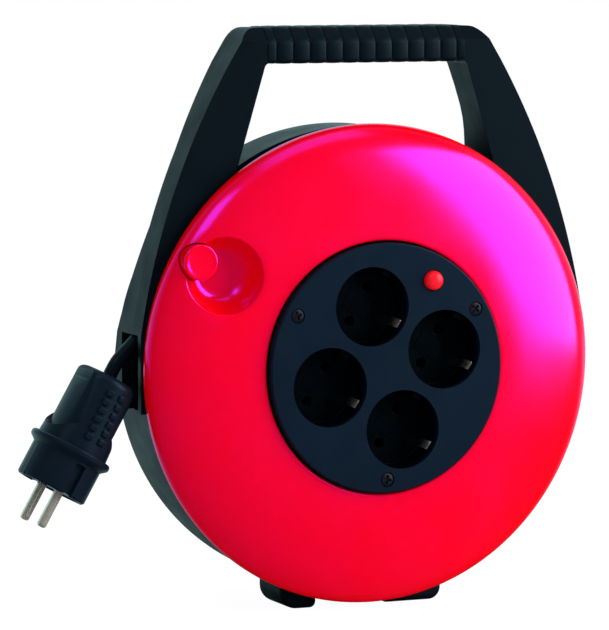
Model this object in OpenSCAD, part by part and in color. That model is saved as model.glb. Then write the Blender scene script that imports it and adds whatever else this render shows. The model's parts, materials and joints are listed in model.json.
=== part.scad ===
// Cable box: an enclosed extension cord reel with four earthed sockets in its hub.
// The drum turns about the Y axis. The feet stand on Z = 0 and the front faces -Y.

/* [Winding disc] */
// Radius of the winding disc's rim
disc_r = 118.9; // [114:0.1:124]
// How far the dome stands ahead of the rim
dome_rise = 18.5; // [14:0.5:22]
// Wall thickness of the disc
disc_wall = 2.8; // [2:0.1:3.4]
// Straight skirt behind the rim
disc_skirt = 2; // [1:0.1:3]
// Gap between the skirt and the casing's front edge
disc_gap = 1; // [0.6:0.1:1.6]
// Radius of the finger scoop beside the knob
scoop_r = 19; // [15:0.5:20]
// Distance of the scoop's middle from the disc's rim
scoop_in = 23.4; // [21.9:0.5:25.9]
// Radius of the scoop's flat floor
scoop_floor_r = 8; // [5:0.5:10]

/* [Knob] */
// Distance of the knob from the disc's rim
knob_in = 10.6; // [10.4:0.1:13]
// Direction of the knob from the drum axis at rest, in degrees
knob_angle = 150; // [145:1:155]
// Radius of the knob
knob_r = 8.8; // [7:0.1:9]
// Height of the knob above its pocket's floor
knob_h = 11.5; // [8:0.5:13]
// Gap all round the knob in its pocket
knob_gap = 0.5; // [0.4:0.1:0.7]
// Radius of the knob's pin
knob_pin_r = 2.5; // [2:0.1:3]

/* [Hub] */
// Radius of the socket plate
hub_r = 61.6; // [60.5:0.1:63]
// Gap between the socket plate and the disc round it
hub_gap = 0.9; // [0.5:0.1:1.4]
// How far the socket plate stands ahead of the disc's inner edge
plate_rise = 3.5; // [2:0.5:5]
// Thickness of the socket plate
plate_t = 3; // [2:0.1:3.5]
// Direction of the pin lines at rest, in degrees
hub_turn = 60; // [50:1:70]
// Distance of the plate screws from the drum axis
plate_screw_at = 55; // [54:0.2:55.6]
// Radius of a plate screw's head
plate_screw_head_r = 3.5; // [2.8:0.1:3.8]

/* [Sockets] */
// Radius of a socket recess
socket_r = 19.5; // [19:0.1:19.8]
// Depth of a socket recess
socket_depth = 17.5; // [16:0.5:18]
// Wall of a socket cup
socket_wall = 1.8; // [1.2:0.1:2]
// Thickness of a socket's floor
socket_floor_t = 2; // [1.6:0.1:2.4]
// Distance of the sockets from the drum axis
socket_at = 31.6; // [31:0.1:32.2]
// Distance between the two pins of a socket and of the plug
pin_spacing = 19; // [18.5:0.1:19.5]
// Radius of a socket's pin hole
pin_hole_r = 2.6; // [2.4:0.1:3]
// Width of an earth clip
earth_w = 4.5; // [3.5:0.1:5]
// Thickness of the sheet metal of the contacts
contact_t = 0.8; // [0.6:0.1:1]

/* [Reset button] */
// Radius of the reset button
button_r = 4.95; // [4:0.05:6]
// Running gap round the reset button
button_fit = 0.05; // [0.02:0.01:0.1]
// How far the reset button stands ahead of the plate
button_proud = 4; // [3:0.5:5]
// Distance of the reset button from the drum axis
button_at = 49; // [48:0.5:50]
// Travel of the reset button
button_travel = 2.5; // [1.5:0.5:3]

/* [Drum] */
// Wall of the drum's winding tube
core_wall = 3; // [2.4:0.1:3.2]
// Thickness of the drum's flanges
flange_t = 2.5; // [2:0.1:3]
// Thickness of the winding tube's lip, held between the disc and the front flange
lip_t = 2; // [1.5:0.1:2.4]
// Gap between a flange's rim and the casing
flange_gap = 2; // [1.5:0.1:3]
// Gap between the rear flange and the casing's back wall
rear_gap = 3.2; // [2.6:0.1:5]
// Thickness of the drum's web
web_t = 3; // [2.4:0.1:4]
// How far the flanges reach beyond the wound cord
wound_margin = 12; // [12:0.5:20]
// Distance of the flange screws from the drum axis
flange_screw_at = 50; // [48:0.5:52]
// Distance of the disc screws from the drum axis
disc_screw_at = 84; // [78:1:90]

/* [Axle] */
// Radius of the steel spindle
spindle_r = 6; // [5:0.1:7]
// Running gap between the spindle and its bush
spindle_fit = 0.05; // [0.02:0.01:0.1]
// Outer radius of the bush
bush_r = 9; // [8:0.1:10]
// Length of the bush
bush_len = 20; // [14:1:22]
// Outer radius of the drum's bearing hub
bearing_r = 14; // [12.5:0.1:14]
// Radius of the washer that holds the drum on
washer_r = 10; // [9.5:0.1:11]
// Thickness of the washer
washer_t = 1.5; // [1:0.1:2]
// End play of the drum at each side
end_play = 0.4; // [0.2:0.1:0.6]

/* [Casing] */
// How far the disc's rim clears the floor
rim_lift = 3.1; // [2:0.1:8]
// Depth of the casing behind the disc's rim
case_depth = 54; // [50:1:60]
// How far the casing's front edge lies inside the disc's rim
case_inset = 3.7; // [3:0.1:4.4]
// How much the casing's radius shrinks towards its back
case_draft = 0.2; // [0:0.1:2]
// Wall of the casing
case_wall = 2.5; // [2:0.1:3]
// Radius of the casing's rounded back edge
case_edge_r = 6; // [4:0.5:8]
// Height of the raised band along the casing's top, between the handle's legs
case_band_t = 2; // [0.5:0.1:3]
// Radius of the shallow recess in the casing's back
back_recess_r = 74; // [50:1:84]
// Depth of that recess
back_recess_t = 0.8; // [0.4:0.1:1]

/* [Handle] */
// Clear height of the hand opening above the disc's rim
hand_gap = 30.3; // [26:0.1:36]
// Height of the handle's bar
bar_h = 17; // [14:0.5:20]
// Depth of the handle's bar from front to back
handle_depth = 24; // [20:0.5:26]
// Depth of the legs at their waist
leg_depth = 18.5; // [17:0.5:20]
// Height above the drum axis at which that waist starts
waist_top = 107; // [100:1:120]
// How far each leg stands out beyond the disc's rim
leg_over = 0.6; // [0.2:0.1:3]
// Width of the frame's corner beside the hand opening
corner_w = 8.6; // [8:0.1:10]
// How far that curve's centre lies below the drum axis
side_drop = 36; // [30:1:40]
// Reach of that curve beyond the frame's half width
side_over = 4; // [3:0.5:6]
// Bevel along the bar's upper front edge
bevel = 6.5; // [3:0.5:8]
// Bevel along the legs' outer front edges
side_bevel = 0.8; // [0.4:0.1:3]
// Half the width of the hand opening at its top
opening_half_w = 53.8; // [50:0.1:56]
// How much each side of the hand opening leans out, per millimetre of drop
opening_lean = 0.298; // [0.2:0.002:0.36]
// How far the frame's legs reach below the drum axis
leg_drop = 20; // [14:1:26]
// Wall of the hollow handle
handle_wall = 3; // [2.4:0.1:3.4]
// Length of the bar that stays bare at each end of the ribbed grip
grip_end = 0.8; // [0.4:0.1:6]
// How far the grip stands proud of the bar
grip_proud = 0.8; // [0.4:0.1:1.2]
// How deep the grip is let into the bar
grip_seat = 1.2; // [0.8:0.1:1.4]
// Distance from one rib of the grip to the next
rib_pitch = 8.8; // [6:0.1:10]
// Width of the groove between two ribs
rib_groove_w = 1.4; // [1:0.1:2]

/* [Cord outlet] */
// Depth of the handle's wall in front of the outlet slot
slot_front = 4.4; // [3:0.1:8]
// Width of the outlet slot
slot_w = 22; // [14:0.2:22]
// Height of the slot's top edge above the drum axis
slot_top = 18; // [16:0.5:24]
// Depth to which the legs are deepened round the outlet
outlet_depth = 41; // [38:0.5:43]
// Height above the drum axis at which the legs start to deepen
outlet_top = 70; // [62:1:72]

/* [Feet] */
// Distance from the middle to the left foot's inner side
foot_in = 23.7; // [20:0.1:26]
// Width of the left foot
foot_w = 19.3; // [17:0.1:24]
// How far the right foot reaches further in than the left one
foot_more_in = 11.7; // [0:0.1:13]
// How far the right foot reaches further out than the left one
foot_more_out = 1.6; // [0:0.1:3]
// Distance of a foot's front face behind the disc's rim
foot_front = 10; // [8:0.5:16]
// Length of a foot from front to back
foot_len = 31; // [28:1:36]
// Radius of a foot's outer lower edge
foot_edge_r = 9; // [4:0.5:9]
// Height of a foot's block before the casing cuts into it
foot_h = 30; // [26:1:34]
// Radius of the pegs that hold a foot
peg_r = 3; // [2:0.1:4]

/* [Cord and plug] */
// Diameter of the cord
cord_d = 7; // [6:0.1:7.4]
// Lean of the plug from hanging straight down, in degrees
plug_lean = 30; // [26:1:34]
// Roll of the plug about its own axis, in degrees
plug_roll = 7; // [0:1:15]
// Length of the plug's grip
plug_grip_l = 38.5; // [34:0.5:42]
// Radius of the plug's grip at the cord
plug_tail_r = 15.8; // [14:0.1:16.4]
// Radius of the plug's grip at the collar
plug_grip_r = 18.2; // [17:0.1:18.8]
// Radius of the plug's collar
plug_collar_r = 21; // [20:0.5:22]
// Thickness of the plug's collar
plug_collar_t = 5; // [3:0.5:6]
// Radius of the plug's front part
plug_front_r = 18; // [17.5:0.1:18.4]
// Length of the plug's front part
plug_front_l = 17.5; // [16:0.5:18]
// Radius of a plug pin
plug_pin_r = 2.4; // [2:0.05:2.4]
// Length of a plug pin
plug_pin_l = 19; // [18:0.5:19.5]

/* [Small screws] */
// Radius of a small screw's thread
screw_r = 1.4; // [1.2:0.1:1.6]
// Radius of a small screw's head
screw_head_r = 3; // [2.6:0.1:3.2]
// Height of a small screw's head
screw_head_t = 1.8; // [1.4:0.1:2]
// Wall of a screw boss round its thread
boss_wall = 2.4; // [2:0.1:2.6]

/* [Hidden] */
$fn = 96;

// A cut that has to pass a face runs this far beyond it
over = 1;
// Slack round a piece that only sits in its place
seat_gap = 0.2;
// Slack round a screw that only passes through
pass_gap = 0.3;

red = [0.82, 0.03, 0.05];
black = [0.06, 0.065, 0.08];
rubber_black = [0.045, 0.05, 0.06];
steel = [0.72, 0.73, 0.75];
brass = [0.78, 0.62, 0.3];
grey = [0.42, 0.43, 0.45];

// Radii and heights that follow from the disc's rim
case_r_front = disc_r - case_inset;
case_r_back = case_r_front - case_draft;
axis_h = disc_r + rim_lift;
handle_top = disc_r + hand_gap + bar_h;
frame_half_w = disc_r + leg_over;
knob_at = disc_r - knob_in;
scoop_at = disc_r - scoop_in;
grip_half_l = opening_half_w - grip_end;

// The legs' outer sides are arcs from the frame's corners down to its widest place
side_rise = handle_top + side_drop;
side_spread = frame_half_w + side_over - opening_half_w - corner_w;
side_r = (side_rise * side_rise + side_spread * side_spread) / (2 * side_spread);

// Depths along Y, measured from the disc's rim plane
case_front_y = disc_skirt + disc_gap;
plate_face_y = -(dome_rise + plate_rise);
plate_back_y = plate_face_y + plate_t;
button_face_y = plate_face_y - button_proud;
mid_y = (case_depth + button_face_y) / 2;
front_flange_y = case_front_y + 2;
wind_y0 = front_flange_y + flange_t;
back_wall_y = case_depth - case_wall - back_recess_t;
rear_flange_y = back_wall_y - rear_gap - flange_t;
web_y = rear_flange_y - web_t;
socket_floor_y = plate_face_y + socket_depth;
socket_back_y = socket_floor_y + socket_floor_t;
handle_back_y = case_front_y + handle_depth;
leg_back_y = case_front_y + leg_depth;
split_y = case_front_y + handle_depth / 2 - 1;
slot_y0 = case_front_y + slot_front;
slot_y1 = slot_y0 + slot_w;
cord_y = slot_y0 + slot_w / 2;

// Radii and places that follow from the driving sizes
collar_r = hub_r + hub_gap;
core_r = collar_r - 0.3;
core_in_r = core_r - core_wall;
lip_r = collar_r + 2.5;
flange_r = case_r_back - case_wall - flange_gap;
wound_r = flange_r - wound_margin;
dome_w = disc_r - collar_r;
socket_xy = socket_at / sqrt(2);
cup_r = socket_r + socket_wall;
boss_r = screw_r + boss_wall;

// Bearing: the drum runs between the casing's boss and the washer
bush_front_y = 8;
bush_back_y = bush_front_y + bush_len;
boss_front_y = bush_back_y + end_play;
spindle_front_y = bush_front_y - end_play;
spindle_floor = 4.3;
spindle_seat = back_wall_y - spindle_floor - boss_front_y;
spindle_boss_r = spindle_r + 4;
boss_rib_l = 26;
boss_rib_h = 2;
axle_thread_r = spindle_r - 3.5;
axle_head_r = spindle_r - 1.5;
axle_head_t = 3;

module placed() {
    translate([0, -mid_y, axis_h]) children();
}

// The hub's own axes: x along the pin lines, z across them
module hub_axes() {
    placed() rotate([0, -hub_turn, 0]) children();
}

module at_polar(r, a) {
    translate([r * cos(a), 0, r * sin(a)]) children();
}

// A round bar along Y
module rod(r, y0, y1) {
    translate([0, y0, 0]) rotate([-90, 0, 0]) cylinder(r = r, h = y1 - y0);
}

// A tube along Y
module pipe(r_in, r_out, y0, y1) {
    difference() {
        rod(r_out, y0, y1);
        rod(r_in, y0 - over, y1 + over);
    }
}

// Turns a profile of radius and depth about the Y axis
module turned() {
    rotate([-90, 0, 0]) rotate_extrude() children();
}

module block(x0, x1, y0, y1, z0, z1) {
    translate([x0, y0, z0]) cube([x1 - x0, y1 - y0, z1 - z0]);
}

// A screw along Y whose head starts at head_y and whose thread runs to tip_y
module screw(r, head_r, head_t, head_y, tip_y) {
    side = tip_y > head_y ? 1 : -1;
    neck_y = head_y + side * head_t;
    slot = head_r * 0.36;
    difference() {
        union() {
            rod(head_r, min(head_y, neck_y), max(head_y, neck_y));
            rod(r, min(neck_y, tip_y), max(neck_y, tip_y));
        }
        for (a = [0, 90]) {
            translate([0, head_y, 0]) rotate([0, a + 45, 0])
                cube([head_r * 1.2, head_t, slot], center = true);
        }
    }
}

// Functions that sweep a round tube along a list of points
function unit(v) = v / norm(v);
function path_dir(p, i) =
    i == 0 ? unit(p[1] - p[0])
    : i == len(p) - 1 ? unit(p[i] - p[i - 1])
    : unit(unit(p[i + 1] - p[i]) + unit(p[i] - p[i - 1]));
function squared(n, t) = unit(n - (n * t) * t);
function path_normals(p, n0) = [
    for (i = 0, n = squared(n0, path_dir(p, 0));
         i < len(p);
         i = i + 1, n = squared(n, path_dir(p, min(i, len(p) - 1)))) n
];

module swept_tube(points, r, sides, n0) {
    normals = path_normals(points, n0);
    last = len(points) - 1;
    corners = [
        for (i = [0 : last])
        let (t = path_dir(points, i), b = cross(t, normals[i]))
        for (k = [0 : sides - 1])
        points[i] + r * (cos(360 * k / sides) * normals[i] + sin(360 * k / sides) * b)
    ];
    walls = [
        for (i = [0 : last - 1], k = [0 : sides - 1])
        let (a = i * sides + k, b = i * sides + (k + 1) % sides)
        each [[a, a + sides, b + sides], [a, b + sides, b]]
    ];
    start_cap = [for (k = [1 : sides - 2]) [0, k, k + 1]];
    end_cap = [for (k = [1 : sides - 2]) [last * sides, last * sides + k + 1, last * sides + k]];
    polyhedron(points = corners, faces = concat(walls, start_cap, end_cap), convexity = 6);
}

// ---- Casing ----

edge_steps = 8;

// Outside of the casing's bowl, moved out by grow
module bowl_outside(grow) {
    r = case_edge_r + grow;
    turned() polygon(concat(
        [[0, case_front_y - grow], [case_r_front + grow, case_front_y - grow]],
        [
            for (i = [0 : edge_steps])
            [
                case_r_back - case_edge_r + r * cos(90 * i / edge_steps),
                case_depth - case_edge_r + r * sin(90 * i / edge_steps)
            ]
        ],
        [[0, case_depth + grow]]
    ));
}

// Ears on the bowl that the handle's two lower screws pass through
ear_angle = 37.7;
ear_reach = case_r_back + 7.6;
ear_x = ear_reach * cos(ear_angle);
ear_z = ear_reach * sin(ear_angle);
ear_r = 4.6;
ear_t = 2;

module ear(grow) {
    near = case_r_back - case_wall + grow;
    far = ear_reach;
    w = ear_r + grow;
    rotate([0, -ear_angle, 0]) translate([0, split_y + ear_t + grow, 0])
        rotate([90, 0, 0]) linear_extrude(ear_t + 2 * grow) polygon([
            [near, -w], [far + w / 2, -w], [far + w, -w / 2],
            [far + w, w / 2], [far + w / 2, w], [near, w]
        ]);
}

// Pegs stand down from the bowl into the feet
foot_mid = foot_in + foot_w / 2;
peg_inset = 9;
peg_ys = [foot_front + peg_inset, foot_front + foot_len - peg_inset];
peg_tip_z = -axis_h + 5;
peg_root_z = -(case_r_back - case_wall) * cos(asin(foot_mid / case_r_back));

module foot_pegs(r, tip_z) {
    for (x = [-foot_mid, foot_mid], y = peg_ys) {
        translate([x, y, tip_z]) cylinder(r = r, h = peg_root_z - tip_z);
    }
}

// The outlet: its top edge slants up inwards, along the cord
outlet_slant = 1.3;
outlet_in_x = -case_r_back + case_edge_r + 2;

module outlet_cut(x_out) {
    top_in = slot_top + (outlet_in_x + frame_half_w) * outlet_slant;
    top_out = slot_top + (x_out + frame_half_w) * outlet_slant;
    translate([0, slot_y1, 0]) rotate([90, 0, 0]) linear_extrude(slot_w) polygon([
        [x_out, -leg_drop], [outlet_in_x, -leg_drop], [outlet_in_x, top_in], [x_out, top_out]
    ]);
}

// The raised band fills the width of the hand opening above the casing
module case_band() {
    intersection() {
        rod(case_r_front + case_band_t, split_y + ear_t, case_depth - case_edge_r);
        translate([0, case_depth, 0]) rotate([90, 0, 0]) linear_extrude(case_depth) polygon([
            [-opening_x(60, -0.3), 60], [opening_x(60, -0.3), 60],
            [opening_x(handle_top, -0.3), handle_top], [-opening_x(handle_top, -0.3), handle_top]
        ]);
    }
}

module rear_housing() color(black) placed() {
    difference() {
        union() {
            bowl_outside(0);
            case_band();
            ear(0);
            mirror([1, 0, 0]) ear(0);
            foot_pegs(peg_r, peg_tip_z);
        }
        // Room for the drum
        turned() polygon([
            [0, case_front_y - over],
            [case_r_front - case_wall, case_front_y - over],
            [case_r_back - case_wall, case_depth - case_edge_r],
            [case_r_back - case_edge_r, back_wall_y],
            [0, back_wall_y]
        ]);
        // Shallow recess in the back
        rod(back_recess_r, case_depth - back_recess_t, case_depth + over);
        // Cord outlet
        outlet_cut(-case_r_front - over);
        for (s = [-1, 1]) {
            translate([s * ear_x, 0, ear_z])
                rod(screw_r + pass_gap, split_y - over, split_y + ear_t + over);
        }
    }
    // Boss that holds the spindle, with its ribs
    difference() {
        union() {
            rod(spindle_boss_r, boss_front_y, back_wall_y + 1);
            for (a = [0 : 60 : 300]) {
                rotate([0, a, 0]) block(
                    0, spindle_boss_r + boss_rib_l, back_wall_y - boss_rib_h,
                    back_wall_y + 1, -1, 1
                );
            }
        }
        rod(spindle_r, boss_front_y - over, boss_front_y + spindle_seat);
    }
}

// One foot: its top follows the bowl and its outer lower edge is round
module foot(more_in, more_out, edge_r) {
    x_in = foot_in - more_in;
    x_out = foot_in + foot_w + more_out;
    y1 = foot_front + foot_len;
    difference() {
        union() {
            block(x_in, x_out - edge_r, foot_front, y1, -axis_h, -axis_h + foot_h);
            block(x_in, x_out, foot_front, y1, -axis_h + edge_r, -axis_h + foot_h);
            translate([x_out - edge_r, 0, -axis_h + edge_r]) rod(edge_r, foot_front, y1);
        }
        bowl_outside(seat_gap / 2);
        foot_pegs(peg_r + 0.05, peg_tip_z - 0.5);
    }
}

module foot_right() color(rubber_black) placed() foot(foot_more_in, foot_more_out, foot_edge_r * 0.7);

module foot_left() color(rubber_black) placed() mirror([1, 0, 0]) foot(0, 0, foot_edge_r);

// ---- Handle frame ----

// A round plate along Y whose front edge is beveled
module beveled_round(r, y0, y1, c) {
    turned() polygon([[0, y0], [r - c, y0], [r, y0 + c], [r, y1], [0, y1]]);
}

// Side view of the frame behind the split, drawn in by inset: the legs have a waist
module side_view(inset, low_y) {
    translate([-frame_half_w - over, 0, 0]) rotate([90, 0, 90])
        linear_extrude(2 * frame_half_w + 2 * over) polygon([
            [split_y - over, handle_top + over], [handle_back_y - inset, handle_top + over],
            [handle_back_y - inset, bar_bottom], [leg_back_y - inset, waist_top],
            [leg_back_y - inset, outlet_top], [low_y, 0],
            [low_y, -leg_drop - over], [split_y - over, -leg_drop - over]
        ]);
}

// Half width of the hand opening at height z
bar_bottom = handle_top - bar_h;
function opening_x(z, inset) = opening_half_w + inset * 1.04 + (bar_bottom - z) * opening_lean;

// The frame's arch, drawn in by inset, from y0 to y1, with a front bevel c and side bevels b
module arch(inset, y0, y1, c, b) {
    side_x = side_r - frame_half_w - side_over;
    w = frame_half_w - inset;
    top = handle_top - inset;
    low = -leg_drop;
    corner = 5;
    difference() {
        intersection() {
            translate([-side_x, 0, -side_drop]) beveled_round(side_r - inset, y0, y1, b);
            translate([side_x, 0, -side_drop]) beveled_round(side_r - inset, y0, y1, b);
            translate([-w, 0, 0]) rotate([90, 0, 90]) linear_extrude(2 * w) polygon([
                [y0, low], [y1, low], [y1, top], [y0 + c, top], [y0, top - c]
            ]);
            translate([0, 0, low]) linear_extrude(top - low) polygon([
                [-w, y1], [-w, y0 + b], [-w + b, y0], [w - b, y0], [w, y0 + b], [w, y1]
            ]);
            // The corners between the bar and the legs are cut off
            translate([0, y1, 0]) rotate([90, 0, 0]) linear_extrude(y1 - y0) polygon([
                [-w, low], [w, low], [w, top - 30], [opening_half_w + corner, top],
                [-opening_half_w - corner, top], [-w, top - 30]
            ]);
        }
        translate([0, y1 + over, 0]) rotate([90, 0, 0]) linear_extrude(y1 - y0 + 2 * over) polygon([
            [-opening_x(60, inset), 60], [opening_x(60, inset), 60],
            [opening_x(bar_bottom - inset, inset), bar_bottom - inset],
            [-opening_x(bar_bottom - inset, inset), bar_bottom - inset]
        ]);
    }
}

// Section of the bar, grown by g, swept along X
module bar_sweep(x0, x1, g) {
    translate([x0, 0, 0]) rotate([90, 0, 90]) linear_extrude(x1 - x0) polygon([
        [case_front_y - g, bar_bottom - g], [handle_back_y + g, bar_bottom - g],
        [handle_back_y + g, handle_top + g], [case_front_y + bevel - g * 0.4, handle_top + g],
        [case_front_y - g, handle_top - bevel + g * 0.4]
    ]);
}

module grip_seat_cut() {
    difference() {
        bar_sweep(-grip_half_l, grip_half_l, grip_proud + over);
        bar_sweep(-grip_half_l - over, grip_half_l + over, -grip_seat);
    }
}

// A flange beside the hand opening, on each leg's back, that widens down to the casing:
// points as depth behind the bar's back and height above the disc's rim
flange_strip_w = 8;
flange_curve = [
    [0, hand_gap], [-1.7, 17.1], [-2, 7.1], [-1, 0.6], [1.5, -5.9], [6, -14.4],
    [13, -20.9], [19, -24.9], [19, -34]
];

module opening_flanges() {
    intersection() {
        translate([-frame_half_w, 0, 0]) rotate([90, 0, 90])
            linear_extrude(2 * frame_half_w) polygon(concat(
                [for (p = flange_curve) [handle_back_y + p[0], disc_r + p[1]]],
                [[split_y, disc_r - 34], [split_y, bar_bottom]]
            ));
        translate([0, case_depth, 0]) rotate([90, 0, 0]) linear_extrude(case_depth) {
            for (s = [-1, 1]) {
                polygon([
                    [s * opening_x(60, 0), 60], [s * opening_x(60, flange_strip_w), 60],
                    [s * opening_x(bar_bottom, flange_strip_w), bar_bottom],
                    [s * opening_x(bar_bottom, 0), bar_bottom]
                ]);
            }
        }
    }
}

// The four handle screws: their X and Z, where their bosses start and the face that they sink in
bar_screw_x = opening_half_w + 7.4;
bar_screw_z = handle_top - 9.5;
screw_places = [
    [-bar_screw_x, bar_screw_z, split_y, handle_back_y],
    [bar_screw_x, bar_screw_z, split_y, handle_back_y],
    [-ear_x, ear_z, split_y + ear_t, leg_back_y], [ear_x, ear_z, split_y + ear_t, leg_back_y]
];
sunk = screw_head_t + 0.6;

module handle_front() color(black) placed() {
    inner_y = case_front_y + handle_wall;
    difference() {
        arch(0, case_front_y, split_y, bevel, side_bevel);
        difference() {
            arch(handle_wall, inner_y, split_y + over, bevel - handle_wall * 0.6, side_bevel);
            bowl_outside(seat_gap + handle_wall);
            // Screw bosses stay
            for (p = screw_places) {
                translate([p[0], 0, p[1]]) rod(boss_r, inner_y - over, split_y + over);
            }
        }
        bowl_outside(seat_gap);
        grip_seat_cut();
        outlet_cut(-frame_half_w - over);
        for (p = screw_places) {
            translate([p[0], 0, p[1]]) rod(screw_r, inner_y + 1, split_y + over);
        }
    }
}

module handle_back() color(black) placed() {
    difference() {
        union() {
            intersection() {
                arch(0, split_y, outlet_depth, 0, 0);
                side_view(0, outlet_depth);
            }
            opening_flanges();
        }
        difference() {
            intersection() {
                arch(handle_wall, split_y - over, handle_back_y, 0, 0);
                side_view(handle_wall, leg_back_y - handle_wall);
            }
            bowl_outside(seat_gap + handle_wall);
            // Screw bosses stay
            for (p = screw_places) {
                translate([p[0], 0, p[1]]) rod(boss_r, p[2], handle_back_y);
            }
        }
        bowl_outside(seat_gap);
        grip_seat_cut();
        outlet_cut(-frame_half_w - over);
        ear(seat_gap);
        mirror([1, 0, 0]) ear(seat_gap);
        for (p = screw_places) {
            translate([p[0], 0, p[1]]) {
                rod(screw_r + pass_gap, split_y - over, p[3] + over);
                rod(screw_head_r + pass_gap, p[3] - sunk, p[3] + over);
            }
        }
    }
}

module handle_screws() color(steel) placed() {
    tip_y = case_front_y + handle_wall + 1.5;
    for (p = screw_places) {
        translate([p[0], 0, p[1]])
            screw(screw_r, screw_head_r, screw_head_t, p[3] - sunk + screw_head_t, tip_y);
    }
}

module handle_grip() color(rubber_black) placed() {
    rib_count = floor(2 * grip_half_l / rib_pitch);
    difference() {
        bar_sweep(-grip_half_l + seat_gap, grip_half_l - seat_gap, grip_proud);
        bar_sweep(-grip_half_l - over, grip_half_l + over, -grip_seat + 0.05);
        for (i = [0 : rib_count - 1]) {
            x = (i - (rib_count - 1) / 2) * rib_pitch;
            difference() {
                bar_sweep(x - rib_groove_w / 2, x + rib_groove_w / 2, grip_proud + over);
                bar_sweep(x - rib_groove_w, x + rib_groove_w, grip_proud * 0.1);
            }
        }
    }
}

// ---- Axle ----

module spindle() color(steel) placed() {
    difference() {
        rod(spindle_r, spindle_front_y, boss_front_y + spindle_seat);
        rod(axle_thread_r, spindle_front_y - over, spindle_front_y + 18);
    }
}

module axle_washer() color(steel) placed() {
    pipe(axle_thread_r + pass_gap, washer_r, spindle_front_y - washer_t, spindle_front_y);
}

module axle_screw() color(steel) placed() {
    screw(
        axle_thread_r, axle_head_r, axle_head_t,
        spindle_front_y - washer_t - axle_head_t, spindle_front_y + 16
    );
}

module axle_bush() color(brass) placed() {
    pipe(spindle_r + spindle_fit, bush_r, bush_front_y, bush_back_y);
}

// ---- Winding disc ----

// Points along the dome from its inner edge out to the rim
dome_steps = 24;
function dome_points(w, rise) = [
    for (i = [0 : dome_steps])
    [collar_r + w * sin(90 * i / dome_steps), -rise * cos(90 * i / dome_steps)]
];

module dome_filled() {
    turned() polygon(concat(
        dome_points(dome_w, dome_rise),
        [[disc_r, disc_skirt], [collar_r, disc_skirt]]
    ));
}

module dome_hollow() {
    turned() polygon(concat(
        [[collar_r, -dome_rise + disc_wall]],
        dome_points(dome_w - disc_wall, dome_rise - disc_wall),
        [[disc_r - disc_wall, disc_skirt + over], [collar_r, disc_skirt + over]]
    ));
}

// The finger scoop: a flat floor with a wall that curves up all round, grown by g
pocket_floor_y = -0.3;
scoop_floor_y = pocket_floor_y - 1;
scoop_steps = 10;
module scoop_shape(g) {
    rise = dome_rise + scoop_floor_y;
    wall_w = scoop_r - scoop_floor_r;
    at_polar(scoop_at, knob_angle) turned() polygon(concat(
        [[0, scoop_floor_y + g]],
        [
            for (i = [0 : scoop_steps])
            [
                scoop_floor_r + (wall_w + g) * sin(90 * i / scoop_steps),
                scoop_floor_y + g - (rise + g) * (1 - cos(90 * i / scoop_steps))
            ]
        ],
        [[scoop_r + g, -dome_rise - 5], [0, -dome_rise - 5]]
    ));
}

module knob_pocket(g) {
    at_polar(knob_at, knob_angle) rod(knob_r + knob_gap + g, -dome_rise - 5, pocket_floor_y + g);
}

disc_screw_angles = [15, 105, 195, 285];

module front_disc() color(red) placed() {
    difference() {
        union() {
            difference() {
                dome_filled();
                dome_hollow();
            }
            // The wall behind the scoop, the knob's pocket and the screw bosses
            intersection() {
                dome_filled();
                union() {
                    scoop_shape(disc_wall);
                    knob_pocket(disc_skirt - pocket_floor_y);
                }
            }
            pipe(collar_r, lip_r, -dome_rise, front_flange_y - lip_t);
            for (a = disc_screw_angles) {
                at_polar(disc_screw_at, a) rod(boss_r, -dome_rise * 0.8, front_flange_y);
            }
        }
        scoop_shape(0);
        knob_pocket(0);
        at_polar(knob_at, knob_angle) rod(knob_pin_r + 0.05, -dome_rise, front_flange_y);
        for (a = disc_screw_angles) {
            at_polar(disc_screw_at, a) rod(screw_r, front_flange_y - 9, front_flange_y + over);
        }
    }
}

module disc_screws() color(steel) placed() {
    for (a = disc_screw_angles) {
        at_polar(disc_screw_at, a)
            screw(screw_r, screw_head_r, screw_head_t, wind_y0 - 0.1, front_flange_y - 8);
    }
}

// ---- Winding knob ----

knob_base_y = pocket_floor_y - 0.2;
knob_face_y = pocket_floor_y - knob_h;
knob_chamfer = 0.9;

module winding_knob() color(red) placed() {
    at_polar(knob_at, knob_angle) difference() {
        turned() polygon([
            [0, knob_face_y], [knob_r - knob_chamfer, knob_face_y],
            [knob_r, knob_face_y + knob_chamfer], [knob_r, knob_base_y], [0, knob_base_y]
        ]);
        rod(knob_pin_r, knob_face_y + 3, knob_base_y + over);
    }
}

clip_y = disc_skirt + 0.2;
clip_t = 0.8;

module knob_pin() color(steel) placed() {
    at_polar(knob_at, knob_angle) rod(knob_pin_r, knob_face_y + 3, clip_y + clip_t + 0.5);
}

module knob_clip() color(steel) placed() {
    at_polar(knob_at, knob_angle) pipe(knob_pin_r, knob_pin_r * 2, clip_y, clip_y + clip_t);
}

// ---- Drum ----

plate_screw_angles = [-30, 90, 210];
plate_skirt_h = 5;
plate_post_r = 4.3;
post_top_y = plate_back_y + plate_skirt_h;
flange_screw_angles = [45, 135, 225, 315];

// Cord entry and clamp, on the hub's -x side
entry_y = wind_y0 + cord_d + 11;
clamp_x = -47;
clamp_w = 8;
clamp_post_z = 9;
clamp_t = 3.5;
cord_end_x = -38;

// The cutout switch behind the reset button
cutout_x0 = button_at - 6;
cutout_x1 = button_at + 7;
cutout_half_z = 12;
cutout_y0 = plate_back_y + 13;
cutout_y1 = cutout_y0 + 24;

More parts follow.
